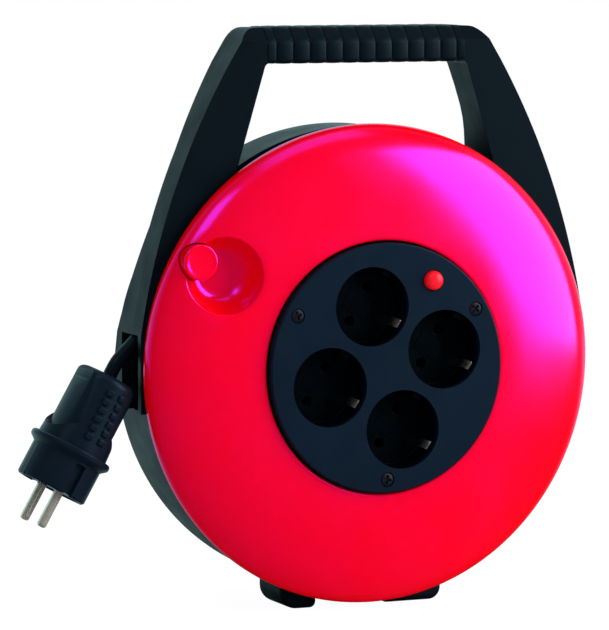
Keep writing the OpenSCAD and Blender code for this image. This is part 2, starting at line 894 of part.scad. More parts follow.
module drum_core() color(black) hub_axes() {
    difference() {
        union() {
            pipe(core_in_r, core_r, post_top_y, rear_flange_y);
            pipe(core_in_r, lip_r, front_flange_y - lip_t, front_flange_y);
            rod(core_in_r + 0.5, web_y, rear_flange_y);
            rod(bearing_r, bush_front_y, rear_flange_y);
            intersection() {
                rod(core_in_r + 0.5, post_top_y, rear_flange_y);
                union() {
                    for (a = plate_screw_angles) {
                        at_polar(plate_screw_at, a) rod(plate_post_r, post_top_y, rear_flange_y);
                    }
                    for (a = flange_screw_angles) {
                        at_polar(flange_screw_at, a) rod(boss_r, web_y - 7, rear_flange_y);
                    }
                    // Saddle and posts of the cord clamp, and the rest for the cutout
                    block(
                        clamp_x - clamp_w / 2, clamp_x + clamp_w / 2,
                        entry_y + cord_d / 2, web_y + 0.5, -5, 5
                    );
                    for (z = [-clamp_post_z, clamp_post_z]) {
                        translate([clamp_x, 0, z]) rod(3.6, entry_y - cord_d / 2, web_y + 0.5);
                    }
                    block(cutout_x0 + 3, cutout_x1 - 3, cutout_y1, web_y + 0.5, -6, 6);
                }
            }
        }
        // Bearing bore, and room round the casing's boss
        rod(bush_r, bush_front_y - over, bush_back_y);
        rod(spindle_boss_r + 1, bush_back_y - 0.01, rear_flange_y + over);
        for (a = plate_screw_angles) {
            at_polar(plate_screw_at, a) rod(1.75, post_top_y - over, post_top_y + 15);
        }
        for (a = flange_screw_angles) {
            at_polar(flange_screw_at, a) rod(screw_r, web_y - 5, rear_flange_y + over);
        }
        // Cord entry through the winding tube, and the clamp screws' holes
        translate([-core_r - over, entry_y, 0]) rotate([0, 90, 0])
            cylinder(r = cord_d / 2 + 0.3, h = core_wall + 3);
        for (z = [-clamp_post_z, clamp_post_z]) {
            translate([clamp_x, 0, z]) rod(screw_r, entry_y - cord_d / 2 - over, entry_y + 8);
        }
    }
}

module front_flange() color(black) placed() {
    difference() {
        pipe(core_r + seat_gap, flange_r, front_flange_y, wind_y0);
        for (a = disc_screw_angles) {
            at_polar(disc_screw_at, a) {
                rod(screw_r + pass_gap, front_flange_y - over, wind_y0 + over);
                rod(screw_head_r + 0.1, wind_y0 - screw_head_t - 0.1, wind_y0 + over);
            }
        }
    }
}

module rear_flange() color(black) hub_axes() {
    difference() {
        pipe(flange_screw_at - 9, flange_r, rear_flange_y, rear_flange_y + flange_t);
        for (a = flange_screw_angles) {
            at_polar(flange_screw_at, a) {
                rod(screw_r + pass_gap, rear_flange_y - over, rear_flange_y + flange_t + over);
                rod(
                    screw_head_r + 0.1, rear_flange_y + flange_t - screw_head_t - 0.1,
                    rear_flange_y + flange_t + over
                );
            }
        }
    }
}

module flange_screws() color(steel) hub_axes() {
    for (a = flange_screw_angles) {
        at_polar(flange_screw_at, a)
            screw(screw_r, screw_head_r, screw_head_t, rear_flange_y + flange_t - 0.1, web_y - 4);
    }
}

module wound_cable() color(rubber_black) hub_axes() {
    pipe(core_r, wound_r, wind_y0, rear_flange_y);
    translate([-core_r - over, entry_y, 0]) rotate([0, 90, 0])
        cylinder(r = cord_d / 2, h = core_r + over + cord_end_x);
}

module cord_clamp() color(grey) hub_axes() {
    top = entry_y - cord_d / 2;
    difference() {
        block(
            clamp_x - clamp_w / 2, clamp_x + clamp_w / 2, top - clamp_t, top,
            -clamp_post_z - 4, clamp_post_z + 4
        );
        for (z = [-clamp_post_z, clamp_post_z]) {
            translate([clamp_x, 0, z]) rod(screw_r + pass_gap, top - clamp_t - over, top + over);
        }
    }
}

module clamp_screws() color(steel) hub_axes() {
    top = entry_y - cord_d / 2;
    for (z = [-clamp_post_z, clamp_post_z]) {
        translate([clamp_x, 0, z])
            screw(screw_r, screw_head_r, screw_head_t, top - clamp_t - screw_head_t, entry_y + 7);
    }
}

// ---- Sockets ----

cup_places = [
    [socket_xy, -socket_xy], [socket_xy, socket_xy],
    [-socket_xy, socket_xy], [-socket_xy, -socket_xy]
];
clip_at = socket_r - 0.7;
guide_rib_w = 4.8;
carrier_boss_at = 44;
carrier_boss_places = [[0, carrier_boss_at], [0, -carrier_boss_at], [-carrier_boss_at, 0]];
earth_y = socket_back_y + contact_t;
carrier_y0 = socket_back_y + 2.5;
carrier_t = 3;

module socket_plate() color(black) hub_axes() {
    difference() {
        union() {
            rod(hub_r, plate_face_y, plate_back_y);
            pipe(core_in_r, hub_r, plate_back_y - 0.5, post_top_y);
            for (c = carrier_boss_places) {
                translate([c[0], 0, c[1]]) rod(boss_r, plate_back_y - 0.5, carrier_y0);
            }
            for (a = plate_screw_angles) {
                at_polar(plate_screw_at, a) rod(plate_post_r, plate_back_y - 0.5, post_top_y);
            }
            // Ribs that hold the cutout
            for (s = [-1, 1]) {
                block(
                    cutout_x0 + 1, cutout_x1 - 1, plate_back_y - 0.5, cutout_y0,
                    s * 9 - 1, s * 9 + 1
                );
            }
        }
        for (c = cup_places) {
            translate([c[0], 0, c[1]]) rod(socket_r, plate_face_y - over, plate_back_y + over);
        }
        for (c = carrier_boss_places) {
            translate([c[0], 0, c[1]]) rod(screw_r, carrier_y0 - 10, carrier_y0 + over);
        }
        for (a = plate_screw_angles) {
            at_polar(plate_screw_at, a) {
                rod(1.75 + pass_gap, plate_face_y - over, post_top_y + over);
                rod(plate_screw_head_r + 0.15, plate_face_y - over, plate_face_y + 1.9);
            }
        }
        translate([button_at, 0, 0]) rod(button_r + button_fit, plate_face_y - over, plate_back_y + over);
    }
}

// A socket's cup stands on the plate's back, round its hole
module socket_cup(place) color(black) hub_axes() translate([place[0], 0, place[1]]) {
    difference() {
        union() {
            pipe(socket_r, cup_r, plate_back_y, socket_back_y);
            rod(socket_r + 0.5, socket_floor_y, socket_back_y);
            // Guide ribs on the pin line
            for (s = [-1, 1]) {
                block(
                    s * socket_r - 2.5, s * socket_r + 1,
                    plate_back_y, socket_floor_y + 0.5, -guide_rib_w / 2, guide_rib_w / 2
                );
            }
        }
        for (s = [-1, 1]) {
            translate([s * pin_spacing / 2, 0, 0]) {
                rod(pin_hole_r, socket_floor_y - over, socket_back_y + over);
            }
            block(
                -earth_w / 2 - seat_gap, earth_w / 2 + seat_gap,
                socket_floor_y - over, socket_back_y + over,
                s * clip_at - contact_t / 2 - seat_gap, s * clip_at + contact_t / 2 + seat_gap
            );
        }
    }
}

module socket_cup_right() socket_cup(cup_places[0]);

module socket_cup_top() socket_cup(cup_places[1]);

module socket_cup_left() socket_cup(cup_places[2]);

module socket_cup_bottom() socket_cup(cup_places[3]);

module plate_screws() color(steel) hub_axes() {
    for (a = plate_screw_angles) {
        at_polar(plate_screw_at, a)
            screw(1.75, plate_screw_head_r, 1.6, plate_face_y + 0.3, post_top_y + 13);
    }
}

// Clips: one bow of sheet metal behind each socket, with a leg up each side of the recess
module earth_clips() color(brass) hub_axes() {
    for (c = cup_places) {
        translate([c[0], 0, c[1]]) {
            block(
                -earth_w / 2, earth_w / 2, socket_back_y, socket_back_y + contact_t,
                -clip_at - contact_t / 2, clip_at + contact_t / 2
            );
            for (s = [-1, 1]) {
                block(
                    -earth_w / 2, earth_w / 2, plate_face_y + 5, socket_back_y + contact_t / 2,
                    s * clip_at - contact_t / 2, s * clip_at + contact_t / 2
                );
                translate([-earth_w / 2, plate_face_y + 9, s * (clip_at - 0.9)]) rotate([0, 90, 0])
                    cylinder(r = 1.5, h = earth_w);
            }
        }
    }
}

earth_ring_w = 3.4;

module earth_ring() color(brass) hub_axes() {
    pipe(
        socket_at - earth_ring_w / 2, socket_at + earth_ring_w / 2,
        earth_y, earth_y + contact_t
    );
}

// Sleeves that grip the plug's pins, joined by a bent strip
sleeve_in_r = plug_pin_r + 0.1;
sleeve_r = sleeve_in_r + 1.1;
sleeve_y0 = socket_back_y + 0.2;
live_y = socket_back_y + 14.5;
neutral_y = live_y + 3;
bus_w = 4;
bus_z = socket_xy + 6;

// The strip of one pole: side +1 joins at the hub's +x end and -1 at its -x end
module bus(side, y) {
    far_x = socket_xy + pin_spacing / 2;
    near_x = socket_xy - pin_spacing / 2;
    for (x = [side * far_x, -side * near_x], z = [-socket_xy, socket_xy]) {
        translate([x, 0, z]) pipe(sleeve_in_r, sleeve_r, sleeve_y0, y);
        translate([x, 0, z]) rod(sleeve_r, y, y + 1);
        block(x - bus_w / 2, x + bus_w / 2, y, y + 1, min(z, sign(z) * bus_z), max(z, sign(z) * bus_z));
    }
    for (z = [-bus_z, bus_z]) {
        block(
            min(side * far_x, -side * near_x) - bus_w / 2, max(side * far_x, -side * near_x) + bus_w / 2,
            y, y + 1, z - bus_w / 2, z + bus_w / 2
        );
    }
    block(side * far_x - bus_w / 2, side * far_x + bus_w / 2, y, y + 1, -bus_z, bus_z);
}

module live_bus() color(brass) hub_axes() {
    bus(1, live_y);
    block(socket_xy + pin_spacing / 2, cutout_x0, live_y, live_y + 1, -bus_w / 2, bus_w / 2);
}

module neutral_bus() color(brass) hub_axes() {
    bus(-1, neutral_y);
}

earth_drop = [-socket_xy, -socket_xy];

module contact_carrier() color(grey) hub_axes() {
    difference() {
        pipe(washer_r + 3, carrier_boss_at + boss_r, carrier_y0, carrier_y0 + carrier_t);
        for (x = [-1, 1], s = [-1, 1], z = [-socket_xy, socket_xy]) {
            translate([x * socket_xy + s * pin_spacing / 2, 0, z])
                rod(sleeve_r + seat_gap, carrier_y0 - over, carrier_y0 + carrier_t + over);
        }
        for (c = carrier_boss_places) {
            translate([c[0], 0, c[1]])
                rod(screw_r + pass_gap, carrier_y0 - over, carrier_y0 + carrier_t + over);
        }
        translate([earth_drop[0], 0, earth_drop[1]])
            rod(2.2, carrier_y0 - over, carrier_y0 + carrier_t + over);
        block(
            cutout_x0 - 0.5, cutout_x1 + over, carrier_y0 - over, carrier_y0 + carrier_t + over,
            -cutout_half_z - 1, cutout_half_z + 1
        );
    }
}

module carrier_screws() color(steel) hub_axes() {
    for (c = carrier_boss_places) {
        translate([c[0], 0, c[1]])
            screw(
                screw_r, screw_head_r, screw_head_t,
                carrier_y0 + carrier_t + screw_head_t, carrier_y0 - 8
            );
    }
}

// ---- Cutout and reset button ----

collar_t = 1.5;
button_collar_y = plate_back_y + seat_gap;
stem_r = 2;
stem_tip_y = cutout_y0 + 3;

module thermal_cutout() color(grey) hub_axes() {
    difference() {
        block(cutout_x0, cutout_x1, cutout_y0, cutout_y1, -cutout_half_z, cutout_half_z);
        translate([button_at, 0, 0])
            rod(stem_r + 0.1, cutout_y0 - over, stem_tip_y + button_travel + 1);
    }
}

module reset_button() color(red) hub_axes() {
    translate([button_at, 0, 0]) {
        turned() polygon([
            [0, button_face_y], [button_r - 0.8, button_face_y], [button_r, button_face_y + 0.8],
            [button_r, button_collar_y], [button_r + 1.5, button_collar_y],
            [button_r + 1.5, button_collar_y + collar_t], [stem_r, button_collar_y + collar_t],
            [stem_r, stem_tip_y], [0, stem_tip_y]
        ]);
    }
}

// ---- Leads ----

lead_r = 1.3;
cord_end_y = entry_y;
cutout_tap_y = cutout_y1 - 5;

module live_lead() color([0.4, 0.22, 0.1]) hub_axes() {
    swept_tube([
        [cord_end_x, cord_end_y - 1, 1.9], [-35.5, cord_end_y - 1, 1.9], [-27, cord_end_y, 15],
        [-12, cord_end_y, 24], [12, cord_end_y, 25], [28, cord_end_y - 3, 16],
        [36, cutout_tap_y, 7], [cutout_x0 - 3, cutout_tap_y, 6], [cutout_x0, cutout_tap_y, 6]
    ], lead_r, 8, [0, 1, 0]);
}

module neutral_lead() color([0.1, 0.3, 0.75]) hub_axes() {
    x = -socket_xy - pin_spacing / 2;
    swept_tube([
        [cord_end_x, cord_end_y - 1, -1.9], [-36.5, cord_end_y - 1, -1.9], [-33.5, cord_end_y - 1.5, -7],
        [x, neutral_y + 6, -12], [x, neutral_y + 3, -12.5], [x, neutral_y + 1, -12.5]
    ], lead_r, 8, [0, 0, 1]);
}

module earth_lead() color([0.35, 0.6, 0.2]) hub_axes() {
    swept_tube([
        [cord_end_x, cord_end_y + 1.9, 0], [-36, cord_end_y + 1.9, 0], [-29, cord_end_y + 3, -12],
        [-24, cord_end_y + 2, -20], [earth_drop[0], cord_end_y - 4, earth_drop[1]],
        [earth_drop[0], earth_y + 8, earth_drop[1]],
        [earth_drop[0], earth_y + contact_t, earth_drop[1]]
    ], lead_r, 8, [0, 0, 1]);
}

// ---- Free cord and plug ----

// Route of the free cord from the winding to the plug, as X, depth behind the slot's middle, Z
cord_route = [
    [-82, 0, 61.5], [-92, 0, 48], [-102, 0, 34], [-111.3, -0.2, 21], [-117.6, -1.2, 14],
    [-123.5, -3, 9], [-128.2, -4.4, 4.48], [-132, -4.4, -2.1]
];
plug_tail = cord_route[len(cord_route) - 1];

module cord() color(rubber_black) placed() {
    swept_tube([for (p = cord_route) [p[0], cord_y + p[1], p[2]]], cord_d / 2, 10, [0, 1, 0]);
}

// The plug's own axes: z from the cord to the pins, y along the pin line
module plug_axes() {
    placed() translate([plug_tail[0], cord_y + plug_tail[1], plug_tail[2]])
        rotate([0, 180 + plug_lean, 0]) rotate([0, 0, -plug_roll]) children();
}

collar_z0 = plug_grip_l;
front_z0 = plug_grip_l + plug_collar_t;
face_z = front_z0 + plug_front_l;
tail_edge_r = 4;
bump_count = 6;
bump_pitch = 4.6;
bump_r = 1.5;
pin_root_r = plug_pin_r - 0.4;
pin_root_l = 10;
pin_tip_l = 1;
bump_angle = 78;
panel_r = 22.4;
panel_x = 14.6;
panel_edge_x = 9;
panel_z1 = 34;

module plug_body() color(rubber_black) plug_axes() {
    difference() {
        union() {
            rotate_extrude() union() {
                polygon([
                    [0, 0], [plug_tail_r - tail_edge_r, 0], [plug_tail_r, tail_edge_r],
                    [plug_grip_r, collar_z0], [0, collar_z0]
                ]);
                translate([plug_tail_r - tail_edge_r, tail_edge_r]) circle(r = tail_edge_r);
                translate([0, collar_z0]) square([plug_collar_r, plug_collar_t]);
                translate([0, front_z0]) square([plug_front_r, plug_front_l]);
            }
            for (x = [-1, 1], y = [-1, 1], i = [0 : bump_count - 1]) {
                z = 8 + i * bump_pitch;
                widening = (plug_grip_r - plug_tail_r) / (collar_z0 - tail_edge_r);
                r = plug_tail_r + (z - tail_edge_r) * widening - 0.5;
                translate([x * r * cos(bump_angle), y * r * sin(bump_angle), z])
                    sphere(r = bump_r, $fn = 24);
            }
        }
        // Flatter thumb panels at two sides, each with a rounded lower end
        for (s = [-1, 1]) {
            difference() {
                union() {
                    translate([s * (panel_edge_x + 10) - 10, -20, -over])
                        cube([20, 40, over + panel_z1 - 18]);
                    translate([s * (panel_edge_x + 10) - 10, 0, panel_z1 - 18]) rotate([0, 90, 0])
                        cylinder(r = 18, h = 20);
                }
                translate([s * (panel_x - panel_r), 0, -2 * over])
                    cylinder(r = panel_r, h = panel_z1 + 3 * over);
            }
        }
        // Guide notches on the pin line, and the pins' seats
        for (s = [-1, 1]) {
            translate([-2.7, s * plug_front_r - 2.6, front_z0 + 1.5]) cube([5.4, 5.2, plug_front_l]);
            translate([0, s * pin_spacing / 2, face_z - pin_root_l])
                cylinder(r = pin_root_r, h = pin_root_l + over);
        }
        // Seats of the earth strips
        for (s = [-1, 1]) {
            translate([s * plug_front_r - 1, -2.1, front_z0 + 1.4]) cube([2, 4.2, plug_front_l]);
        }
    }
}

module plug_pins() color(steel) plug_axes() {
    for (s = [-1, 1]) {
        translate([0, s * pin_spacing / 2, face_z]) {
            translate([0, 0, -pin_root_l]) cylinder(r = pin_root_r, h = pin_root_l + 0.5);
            cylinder(r = plug_pin_r, h = plug_pin_l - pin_tip_l);
            translate([0, 0, plug_pin_l - pin_tip_l])
                cylinder(r1 = plug_pin_r, r2 = plug_pin_r - 1, h = pin_tip_l);
        }
    }
}

module plug_earth() color(brass) plug_axes() {
    for (s = [-1, 1]) {
        translate([s * (plug_front_r - 0.5) - 0.5, -2, front_z0 + 1.5]) cube([1, 4, plug_front_l - 1.5]);
    }
}

rear_housing();
handle_front();
handle_back();
handle_grip();
handle_screws();
foot_left();
foot_right();
spindle();
axle_washer();
axle_screw();
front_disc();
disc_screws();
drum_core();
front_flange();
rear_flange();
flange_screws();
axle_bush();
wound_cable();
socket_plate();
plate_screws();
socket_cup_right();
socket_cup_top();
socket_cup_left();
socket_cup_bottom();
contact_carrier();
carrier_screws();
live_bus();
neutral_bus();
earth_clips();
earth_ring();
thermal_cutout();
cord_clamp();
clamp_screws();
live_lead();
neutral_lead();
earth_lead();
winding_knob();
knob_pin();
knob_clip();
reset_button();
cord();
plug_body();
plug_pins();
plug_earth();
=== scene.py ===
import json
import math
import random

import bpy
from mathutils import Matrix, Vector


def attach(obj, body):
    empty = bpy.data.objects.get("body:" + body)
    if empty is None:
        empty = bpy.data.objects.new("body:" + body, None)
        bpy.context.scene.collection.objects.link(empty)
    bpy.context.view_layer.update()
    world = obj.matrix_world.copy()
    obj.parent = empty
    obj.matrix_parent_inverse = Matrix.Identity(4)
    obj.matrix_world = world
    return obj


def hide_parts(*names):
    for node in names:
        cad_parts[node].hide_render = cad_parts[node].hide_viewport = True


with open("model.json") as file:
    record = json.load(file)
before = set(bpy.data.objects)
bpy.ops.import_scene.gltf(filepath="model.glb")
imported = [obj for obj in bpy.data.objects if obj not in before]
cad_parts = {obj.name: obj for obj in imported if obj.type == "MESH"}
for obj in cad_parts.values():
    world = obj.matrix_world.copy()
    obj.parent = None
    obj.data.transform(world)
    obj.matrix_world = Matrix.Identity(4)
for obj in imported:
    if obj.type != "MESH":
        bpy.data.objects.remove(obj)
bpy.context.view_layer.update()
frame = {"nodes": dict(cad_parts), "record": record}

# Places are in millimetres from the drum axis at the plane of the winding disc's rim:
# x to the right, y to the back and z up.
MID_Y = 14
AXIS_H = 122
MM = 0.001
FULL_TURN = 2 * math.pi


def at(x, y, z):
    """A place on the reel, in the frame's metres."""
    return Vector((x, y - MID_Y, z + AXIS_H)) * MM


def polar(radius, degrees):
    a = math.radians(degrees)
    return radius * math.cos(a), radius * math.sin(a)


# ---- Camera ----

CAMERA_AZIMUTH = -23.1
CAMERA_ELEVATION = 5.5
CAMERA_DISTANCE = 2.0
CAMERA_LENS = 231.2


def add_camera():
    a, e = math.radians(CAMERA_AZIMUTH), math.radians(CAMERA_ELEVATION)
    back = Vector((math.sin(a) * math.cos(e), -math.cos(a) * math.cos(e), math.sin(e)))
    turn = (-back).to_track_quat("-Z", "Y")
    right, up = turn @ Vector((1, 0, 0)), turn @ Vector((0, 1, 0))
    target = at(0, 0, 0) - 0.0321 * right + 0.0242 * up
    data = bpy.data.cameras.new("camera")
    data.lens = CAMERA_LENS
    data.clip_start, data.clip_end = 0.05, 50
    camera = bpy.data.objects.new("camera", data)
    bpy.context.scene.collection.objects.link(camera)
    camera.rotation_mode = "QUATERNION"
    camera.location = target + CAMERA_DISTANCE * back
    camera.rotation_quaternion = turn
    bpy.context.scene.camera = camera


add_camera()


# ---- Materials ----

def srgb(r, g, b):
    """A colour as it is seen, 0 to 255, made linear."""
    def one(c):
        c /= 255
        return c / 12.92 if c <= 0.04045 else ((c + 0.055) / 1.055) ** 2.4
    return one(r), one(g), one(b), 1


def shade_of(color, factor):
    return (*[min(1, c * factor) for c in color[:3]], 1)


def ramp(tree, value, start, stop, low, high):
    """A value that runs from start to stop, made to run from low to high."""
    node = tree.nodes.new("ShaderNodeMapRange")
    node.inputs["From Min"].default_value = start
    node.inputs["From Max"].default_value = stop
    node.inputs["To Min"].default_value = low
    node.inputs["To Max"].default_value = high
    tree.links.new(value, node.inputs["Value"])
    return node.outputs["Result"]


def worked_out(tree, operation, *values):
    """The result of a calculation with numbers and sockets."""
    node = tree.nodes.new("ShaderNodeMath")
    node.operation = operation
    for socket, value in zip(node.inputs, values):
        if isinstance(value, (int, float)):
            socket.default_value = value
        else:
            tree.links.new(value, socket)
    return node.outputs[0]


class Finish:
    """A surface: colour that varies, roughness that varies, and a fine relief."""

    def __init__(self, name, color, rough, metallic=0.0, specular=0.5, ior=1.5):
        self.material = bpy.data.materials.new(name)
        self.material.use_nodes = True
        self.tree = self.material.node_tree
        self.surface = self.tree.nodes["Principled BSDF"]
        self.surface.inputs["Base Color"].default_value = color
        self.surface.inputs["Roughness"].default_value = rough
        self.surface.inputs["Metallic"].default_value = metallic
        self.surface.inputs["Specular IOR Level"].default_value = specular
        self.surface.inputs["IOR"].default_value = ior
        self.place = self.tree.nodes.new("ShaderNodeTexCoord").outputs["Object"]
        self.color = color
        self.rough = rough

    def link(self, a, b):
        self.tree.links.new(a, b)

    def noise(self, scale, detail=3.0, stretch=None):
        """Noise over the piece: scale is in waves to the metre."""
        texture = self.tree.nodes.new("ShaderNodeTexNoise")
        texture.inputs["Scale"].default_value = scale
        texture.inputs["Detail"].default_value = detail
        source = self.place
        if stretch:
            mapping = self.tree.nodes.new("ShaderNodeMapping")
            mapping.inputs["Scale"].default_value = stretch
            self.link(self.place, mapping.inputs["Vector"])
            source = mapping.outputs["Vector"]
        self.link(source, texture.inputs["Vector"])
        return texture.outputs["Fac"]

    def ranged(self, value, low, high, start=0.3, stop=0.7):
        return ramp(self.tree, value, start, stop, low, high)

    def mix(self, factor, a, b):
        node = self.tree.nodes.new("ShaderNodeMix")
        node.data_type = "RGBA"
        self.link(factor, node.inputs["Factor"])
        for socket, value in ((node.inputs[6], a), (node.inputs[7], b)):
            if isinstance(value, tuple):
                socket.default_value = value
            else:
                self.link(value, socket)
        return node.outputs[2]

    def vary(self, spread, broad, fine):
        """Colour drifts broadly and finely."""
        dark, light = shade_of(self.color, 1 - spread), shade_of(self.color, 1 + spread)
        color = self.mix(self.ranged(self.noise(broad), 0, 1), dark, light)
        speck = shade_of(self.color, 1 + 2.2 * spread)
        color = self.mix(self.ranged(self.noise(fine, 2), 0, 0.6, 0.52, 0.75), color, speck)
        self.link(color, self.surface.inputs["Base Color"])
        return self

    def dull(self, spread, scale, stretch=None):
        """Roughness drifts by spread."""
        rough = self.ranged(
            self.noise(scale, 4, stretch), max(0.02, self.rough - spread), self.rough + spread
        )
        self.link(rough, self.surface.inputs["Roughness"])
        return self

    def relief(self, *layers):
        """Bump from one or more layers of noise: waves to the metre, depth in mm, stretch."""
        normal = None
        for scale, depth, stretch in layers:
            bump = self.tree.nodes.new("ShaderNodeBump")
            bump.inputs["Distance"].default_value = depth * MM
            bump.inputs["Strength"].default_value = 1
            self.link(self.noise(scale, 2, stretch), bump.inputs["Height"])
            if normal:
                self.link(normal, bump.inputs["Normal"])
            normal = bump.outputs["Normal"]
        self.link(normal, self.surface.inputs["Normal"])
        return self

    def tint(self, color):
        self.surface.inputs["Specular Tint"].default_value = color
        return self


RED = srgb(238, 2, 2)
BLACK = srgb(5, 11, 17)
HUB_BLACK = srgb(9, 20, 34)
COOL = (0.3, 0.7, 1.0, 1)

red_plastic = (
    Finish("red_plastic", RED, 0.19, specular=1.0, ior=1.9).vary(0.03, 9, 160).dull(0.03, 30)
    .relief((420, 0.008, None), (2600, 0.002, None)).tint((0.3, 0.03, 1.0, 1)).material
)
button_plastic = (
    Finish("button_plastic", srgb(236, 14, 30), 0.3, specular=0.3).vary(0.03, 60, 400)
    .dull(0.05, 200).relief((900, 0.006, None)).tint((1.0, 0.6, 0.9, 1)).material
)
black_plastic = (
    Finish("black_plastic", BLACK, 0.42, specular=0.09, ior=1.46).vary(0.1, 14, 700).dull(0.06, 60)
    .relief((3800, 0.018, None), (300, 0.01, None)).tint(COOL).material
)
hub_plastic = (
    Finish("hub_plastic", HUB_BLACK, 0.4, specular=0.1).vary(0.08, 20, 800).dull(0.05, 80)
    .relief((3200, 0.012, None)).tint(COOL).material
)
# Darker than the hub plate's plastic: painted shade inside the socket recesses, whose plastic is
# the hub's own.
cup_painted_shade_plastic = (
    Finish("cup_painted_shade_plastic", srgb(3, 5, 9), 0.3, specular=0.07).vary(0.1, 30, 900).dull(0.05, 120)
    .relief((2400, 0.01, None)).tint(COOL).material
)
grip_rubber = (
    Finish("grip_rubber", srgb(5, 11, 17), 0.42, specular=0.1).vary(0.12, 30, 900).dull(0.06, 100)
    .relief((2600, 0.02, None)).tint(COOL).material
)
black_rubber = (
    Finish("black_rubber", srgb(10, 14, 19), 0.45, specular=0.12).vary(0.12, 30, 700)
    .dull(0.06, 100).relief((2200, 0.03, None)).tint(COOL).material
)
plug_rubber = (
    Finish("plug_rubber", srgb(13, 22, 33), 0.34, specular=0.16).vary(0.1, 40, 900).dull(0.05, 120)
    .relief((2400, 0.012, None)).tint(COOL).material
)
cord_rubber = (
    Finish("cord_rubber", srgb(9, 13, 20), 0.4, specular=0.16).vary(0.1, 60, 900).dull(0.06, 200)
    .relief((1200, 0.02, None)).tint(COOL).material
)
grey_plastic = (
    Finish("grey_plastic", srgb(172, 174, 177), 0.5).vary(0.04, 40, 800).dull(0.05, 100)
    .relief((2400, 0.02, None)).material
)
zinc_steel = (
    Finish("zinc_steel", srgb(198, 200, 204), 0.34, 1.0).vary(0.06, 120, 1500).dull(0.08, 300)
    .relief((3000, 0.006, (1, 8, 1))).material
)
blackened_steel = (
    Finish("blackened_steel", srgb(14, 20, 30), 0.42, 0.2, specular=0.2).vary(0.15, 200, 1500)
    .dull(0.08, 300).relief((3000, 0.008, None)).material
)
nickel = (
    Finish("nickel", srgb(232, 228, 214), 0.22, 0.75).vary(0.03, 150, 1500).dull(0.04, 400)
    .relief((2400, 0.0015, (1, 1, 10))).material
)
spring_nickel = (
    Finish("spring_nickel", srgb(206, 204, 196), 0.3, 1.0).vary(0.05, 150, 1500).dull(0.05, 400)
    .relief((2400, 0.003, (1, 1, 10))).material
)
brass = (
    Finish("brass", srgb(92, 66, 34), 0.45, 0.9).vary(0.08, 150, 1200).dull(0.08, 400)
    .relief((2400, 0.006, None)).material
)
dull_strip = (
    Finish("dull_strip", srgb(44, 50, 58), 0.42, 0.9).vary(0.1, 150, 1200).dull(0.08, 400)
    .relief((2400, 0.004, None)).material
)
brown_insulation = (
    Finish("brown_insulation", srgb(112, 62, 38), 0.4).vary(0.08, 100, 900).dull(0.05, 200)
    .relief((1500, 0.01, None)).material
)
blue_insulation = (
    Finish("blue_insulation", srgb(50, 108, 200), 0.4).vary(0.08, 100, 900).dull(0.05, 200)
    .relief((1500, 0.01, None)).material
)
green_insulation = (
    Finish("green_insulation", srgb(120, 176, 60), 0.4).vary(0.08, 100, 900).dull(0.05, 200)
    .relief((1500, 0.01, None)).material
)
FINISHES = {
    "red_plastic": red_plastic, "button_plastic": button_plastic, "black_plastic": black_plastic,
    "hub_plastic": hub_plastic, "grey_plastic": grey_plastic, "grip_rubber": grip_rubber,
    "black_rubber": black_rubber, "plug_rubber": plug_rubber, "cord_rubber": cord_rubber,
    "zinc_steel": zinc_steel, "blackened_steel": blackened_steel, "nickel": nickel, "brass": brass,
    "brown_insulation": brown_insulation, "blue_insulation": blue_insulation,
    "green_insulation": green_insulation,
}
for subpart in frame["record"]["subparts"]:
    for cad_slot in frame["nodes"][subpart["node"]].material_slots:
        cad_slot.material = FINISHES[subpart["material_slot"]]
for cad_slot in frame["nodes"]["plug_earth"].material_slots:
    cad_slot.material = dull_strip


# ---- Hand tools ----

MERGE_GAP = 4e-6


def drop_selection():
    if bpy.context.mode != "OBJECT":
        bpy.ops.object.mode_set(mode="OBJECT")
    bpy.ops.object.select_all(action="DESELECT")


def hold(piece):
    """Selects one piece alone."""
    drop_selection()
    piece.select_set(True)
    bpy.context.view_layer.objects.active = piece


def pick(piece, kind, test):
    """Opens a piece and selects its vertices, edges or faces that pass the test."""
    hold(piece)
    bpy.ops.object.mode_set(mode="EDIT")
    bpy.ops.mesh.select_mode(type=kind)
    bpy.ops.mesh.select_all(action="DESELECT")
    bpy.ops.object.mode_set(mode="OBJECT")
    mesh = piece.data
    if kind == "VERT":
        for v in mesh.vertices:
            v.select = test(v.co)
    elif kind == "EDGE":
        for e in mesh.edges:
            a, b = (mesh.vertices[i].co for i in e.vertices)
            e.select = test((a + b) / 2, (b - a).normalized())
    else:
        for f in mesh.polygons:
            f.select = test(f.center, f.normal)
    bpy.ops.object.mode_set(mode="EDIT")


def tidy_mesh():
    """In edit mode: merges doubles and turns all faces outward."""
    bpy.ops.mesh.select_all(action="SELECT")
    bpy.ops.mesh.remove_doubles(threshold=MERGE_GAP)
    bpy.ops.mesh.normals_make_consistent(inside=False)
    bpy.ops.object.mode_set(mode="OBJECT")


def settle(piece):
    """Puts the piece's place into its mesh."""
    hold(piece)
    bpy.ops.object.transform_apply(location=True, rotation=True, scale=True)


def place(piece, matrix):
    piece.matrix_world = matrix @ piece.matrix_world
    settle(piece)
    return piece


def draw(name, points):
    """A line of vertices, drawn by one extrude after another."""
    points = [Vector(p) for p in points]
    drop_selection()
    bpy.ops.mesh.primitive_plane_add(size=MM, location=points[0])
    piece = bpy.context.object
    piece.name = piece.data.name = name
    bpy.ops.object.mode_set(mode="EDIT")
    bpy.ops.mesh.select_mode(type="VERT")
    bpy.ops.mesh.select_all(action="SELECT")
    bpy.ops.mesh.merge(type="CENTER")
    for a, b in zip(points, points[1:]):
        bpy.ops.mesh.extrude_vertices_move(TRANSFORM_OT_translate={"value": b - a})
    return piece


